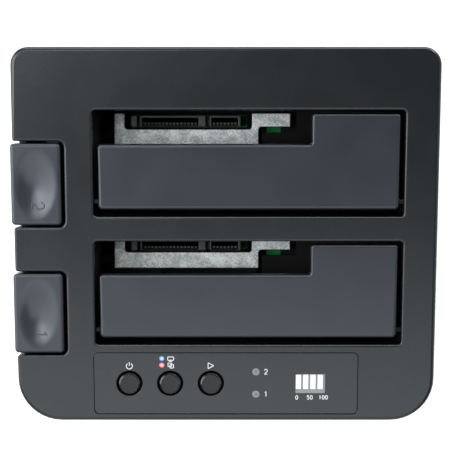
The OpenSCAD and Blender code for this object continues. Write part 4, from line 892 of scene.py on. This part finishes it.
springLook = dict(x=-62.0, back=24.55, radius=2.5, wire=0.4, low=10.16, high=23.84, turns=6, travel=5.0,
                  coilLeft=-36.85, coilRight=-31.85, coilRadius=1.45, coilWire=0.25, coilTurns=6,
                  wallLeg=((-3.93, -1.45), (-2.57, -1.45)), legShift=0.5,
                  flapLeg=((0.0, -1.45), (2.0, -1.35), (5.0, -0.8), (9.0, -0.4)),
                  stepsInTurn=24, wireSides=10)


def buildSprings(bay, look):
    # round wire carried along helices: an upright one under the key, and one round the flap pin with a leg on
    # the wall and a leg that goes with the flap
    x, y = look["x"], slotBacks[bay] - look["back"]
    part = np.linspace(0, 1, look["turns"] * look["stepsInTurn"] + 1)
    angle = 2 * math.pi * look["turns"] * part
    low, high = look["low"] + look["wire"], look["high"] - look["wire"]
    path = np.column_stack([x + look["radius"] * np.cos(angle), y + look["radius"] * np.sin(angle),
                            low + (high - low) * part])
    shell = newShell()
    addSweep(shell, path, roundSection(look["wire"], look["wireSides"]))
    spring = makePiece(bay + "KeySpring", shell, "oiledSteel", "housing", ["eject_spring_" + bay])
    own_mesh(spring)
    place = hingePlace(bay)
    left, right, radius = look["coilLeft"], look["coilRight"], look["coilRadius"]
    part = np.linspace(0, 1, look["coilTurns"] * look["stepsInTurn"] + 1)
    angle = 2 * math.pi * look["coilTurns"] * part - math.pi / 2
    coil = np.column_stack([left + (right - left) * part, radius * np.cos(angle), radius * np.sin(angle)])
    section = roundSection(look["coilWire"], look["wireSides"])
    shell = newShell()
    addSweep(shell, np.concatenate([[(left, *spot) for spot in look["wallLeg"]], coil]), section, (1, 0, 0))
    makePiece(bay + "FlapSpring", shell, "oiledSteel", "housing", ["flap_spring_" + bay], place)
    shell = newShell()
    addSweep(shell, [(right + look["legShift"], *spot) for spot in look["flapLeg"]], section, (1, 0, 0))
    makePiece(bay + "FlapLeg", shell, "oiledSteel", "flap_" + bay, (), place)


buildCover(coverLook)
buildPanel(panelLook)
buildMarks(markLook)
for name, spot in zip(("power", "mode", "start"), panelLook["keys"]):
    buildKey(name, spot, keyLook)
for name, spot in zip(("blue", "red"), panelLook["modeSpots"]):
    buildLens(name + "Lens", "mode_lens_" + name, spot, "mode", name + "Lens", lensLook)
for bay, spot in zip(bays, panelLook["driveSpots"]):
    buildLens(bay + "DriveLens", "drive_lens_" + bay, spot, "drive", "smokedLens", lensLook)
for bay in bays:
    buildFlap(bay, flapLook)
    buildPush(bay, pushLook)
    buildConnector(bay, connectorLook)
    buildContacts(bay, contactLook)
    buildLift(bay, liftLook)
    buildPaintedShadeSheet(bay, shadeSheetLook)
    buildSprings(bay, springLook)
print("main pieces made")


def softenEdges(obj, width, angle=35, segments=2):
    # joins the loose triangles, rounds the sharp edges and keeps flat faces flat
    weld = obj.modifiers.new("join", "WELD")
    weld.merge_threshold = 1e-6
    flat = obj.modifiers.new("flatten", "DECIMATE")
    flat.decimate_type, flat.angle_limit = "DISSOLVE", math.radians(0.5)
    bevel = obj.modifiers.new("round", "BEVEL")
    bevel.width, bevel.segments = width * mm, segments
    bevel.limit_method, bevel.angle_limit = "ANGLE", math.radians(angle)
    bevel.use_clamp_overlap = False
    normal = obj.modifiers.new("shade", "WEIGHTED_NORMAL")
    normal.keep_sharp = True


softenEdges(nodes["base_tray"], 0.3)
print("edges rounded")


# Camera straight above, leaning a little to the back
cameraLook = dict(target=(0.4, 4.0, 55.055), distance=575, lean=3.26, lens=137.85, sensor=36.0,
                  clip=(0.01, 100))
lean = math.radians(cameraLook["lean"])
target = Vector(cameraLook["target"]) * mm
camera = bpy.data.objects.new("camera", bpy.data.cameras.new("camera"))
camera.data.lens, camera.data.sensor_width = cameraLook["lens"], cameraLook["sensor"]
camera.data.clip_start, camera.data.clip_end = cameraLook["clip"]
camera.location = target + Vector((0, math.sin(lean), math.cos(lean))) * cameraLook["distance"] * mm
camera.rotation_euler = (-lean, 0, 0)
bpy.context.scene.collection.objects.link(camera)
bpy.context.scene.camera = camera

# Soft lamps: a broad key in front, two at the left, one overhead for the bays, low walls of light all round
wallSize = (640, 340)
lamps = (dict(name="key", place=(0, -385, 578), size=(600, 250), power=1.02),
         dict(name="side", place=(-330, -20, 540), size=(240, 280), power=1.75),
         dict(name="fill", place=(-370, -300, 500), size=(220, 220), power=0.42),
         dict(name="top", place=(-110, 60, 690), size=(160, 100), power=0.5),
         dict(name="frontWall", place=(0, -600, 330), size=wallSize, power=0.8),
         dict(name="rearWall", place=(0, 600, 330), size=wallSize, power=4.0),
         dict(name="leftWall", place=(-600, 0, 330), size=wallSize, power=3.0),
         dict(name="rightWall", place=(600, 0, 330), size=wallSize, power=0.7),
         dict(name="rearRight", place=(440, 440, 350), size=(200, 300), power=2.4))
for lamp in lamps:
    light = bpy.data.lights.new(lamp["name"], "AREA")
    light.shape, light.energy = "RECTANGLE", lamp["power"]
    light.size, light.size_y = (side * mm for side in lamp["size"])
    obj = bpy.data.objects.new(lamp["name"], light)
    obj.location = Vector(lamp["place"]) * mm
    obj.rotation_euler = (target - obj.location).to_track_quat("-Z", "Y").to_euler()
    bpy.context.scene.collection.objects.link(obj)

# World: even dim light on the object
world = bpy.data.worlds.new("studio")
bpy.context.scene.world = world
world.use_nodes = True
tree = world.node_tree
tree.nodes.clear()
plain = addNode(tree, "ShaderNodeBackground", sockets={"Color": (1, 1, 1, 1), "Strength": 0.1})
addNode(tree, "ShaderNodeOutputWorld", {"Surface": plain.outputs[0]})

# Floor: a wide pale sheet just below the feet, in metres. It glows for the camera, in gloss and through clear
# pieces, more so far off, and keeps the shadow
floorLook = dict(half=40.0, low=-0.00005, colour="e8e8e8", near=0.2, far=1.2, nearGlow=0.65, farGlow=0.9)
half, low = floorLook["half"], floorLook["low"]
floorMesh = bpy.data.meshes.new("floor")
floorMesh.from_pydata([(-half, -half, low), (half, -half, low), (half, half, low), (-half, half, low)],
                      [], [(0, 1, 2, 3)])
floor = bpy.data.objects.new("floor", floorMesh)
bpy.context.scene.collection.objects.link(floor)
floorPaint, tree = newMaterial("paperFloor")
sheet = addNode(tree, "ShaderNodeBsdfDiffuse", sockets={"Color": linearColour(floorLook["colour"])})
place = addNode(tree, "ShaderNodeTexCoord").outputs["Object"]
away = addNode(tree, "ShaderNodeVectorMath", {0: place}, operation="LENGTH")
rise = addNode(tree, "ShaderNodeMapRange", {"Value": away.outputs["Value"]},
               {"From Min": floorLook["near"], "From Max": floorLook["far"],
                "To Min": floorLook["nearGlow"], "To Max": floorLook["farGlow"]})
ray = addNode(tree, "ShaderNodeLightPath")
shown = ray.outputs["Is Camera Ray"]
for kind in ("Is Glossy Ray", "Is Transmission Ray"):
    shown = addNode(tree, "ShaderNodeMath", {0: shown, 1: ray.outputs[kind]}, operation="MAXIMUM").outputs[0]
power = addNode(tree, "ShaderNodeMath", {0: shown, 1: rise.outputs["Result"]}, operation="MULTIPLY")
glow = addNode(tree, "ShaderNodeEmission", {"Strength": power.outputs[0]}, {"Color": (1, 1, 1, 1)})
both = addNode(tree, "ShaderNodeAddShader", {0: sheet.outputs[0], 1: glow.outputs[0]})
addNode(tree, "ShaderNodeOutputMaterial", {"Surface": both.outputs[0]})
floorMesh.materials.append(floorPaint)
print("camera, lamps and floor set")

bpy.context.scene.view_settings.view_transform = "Standard"
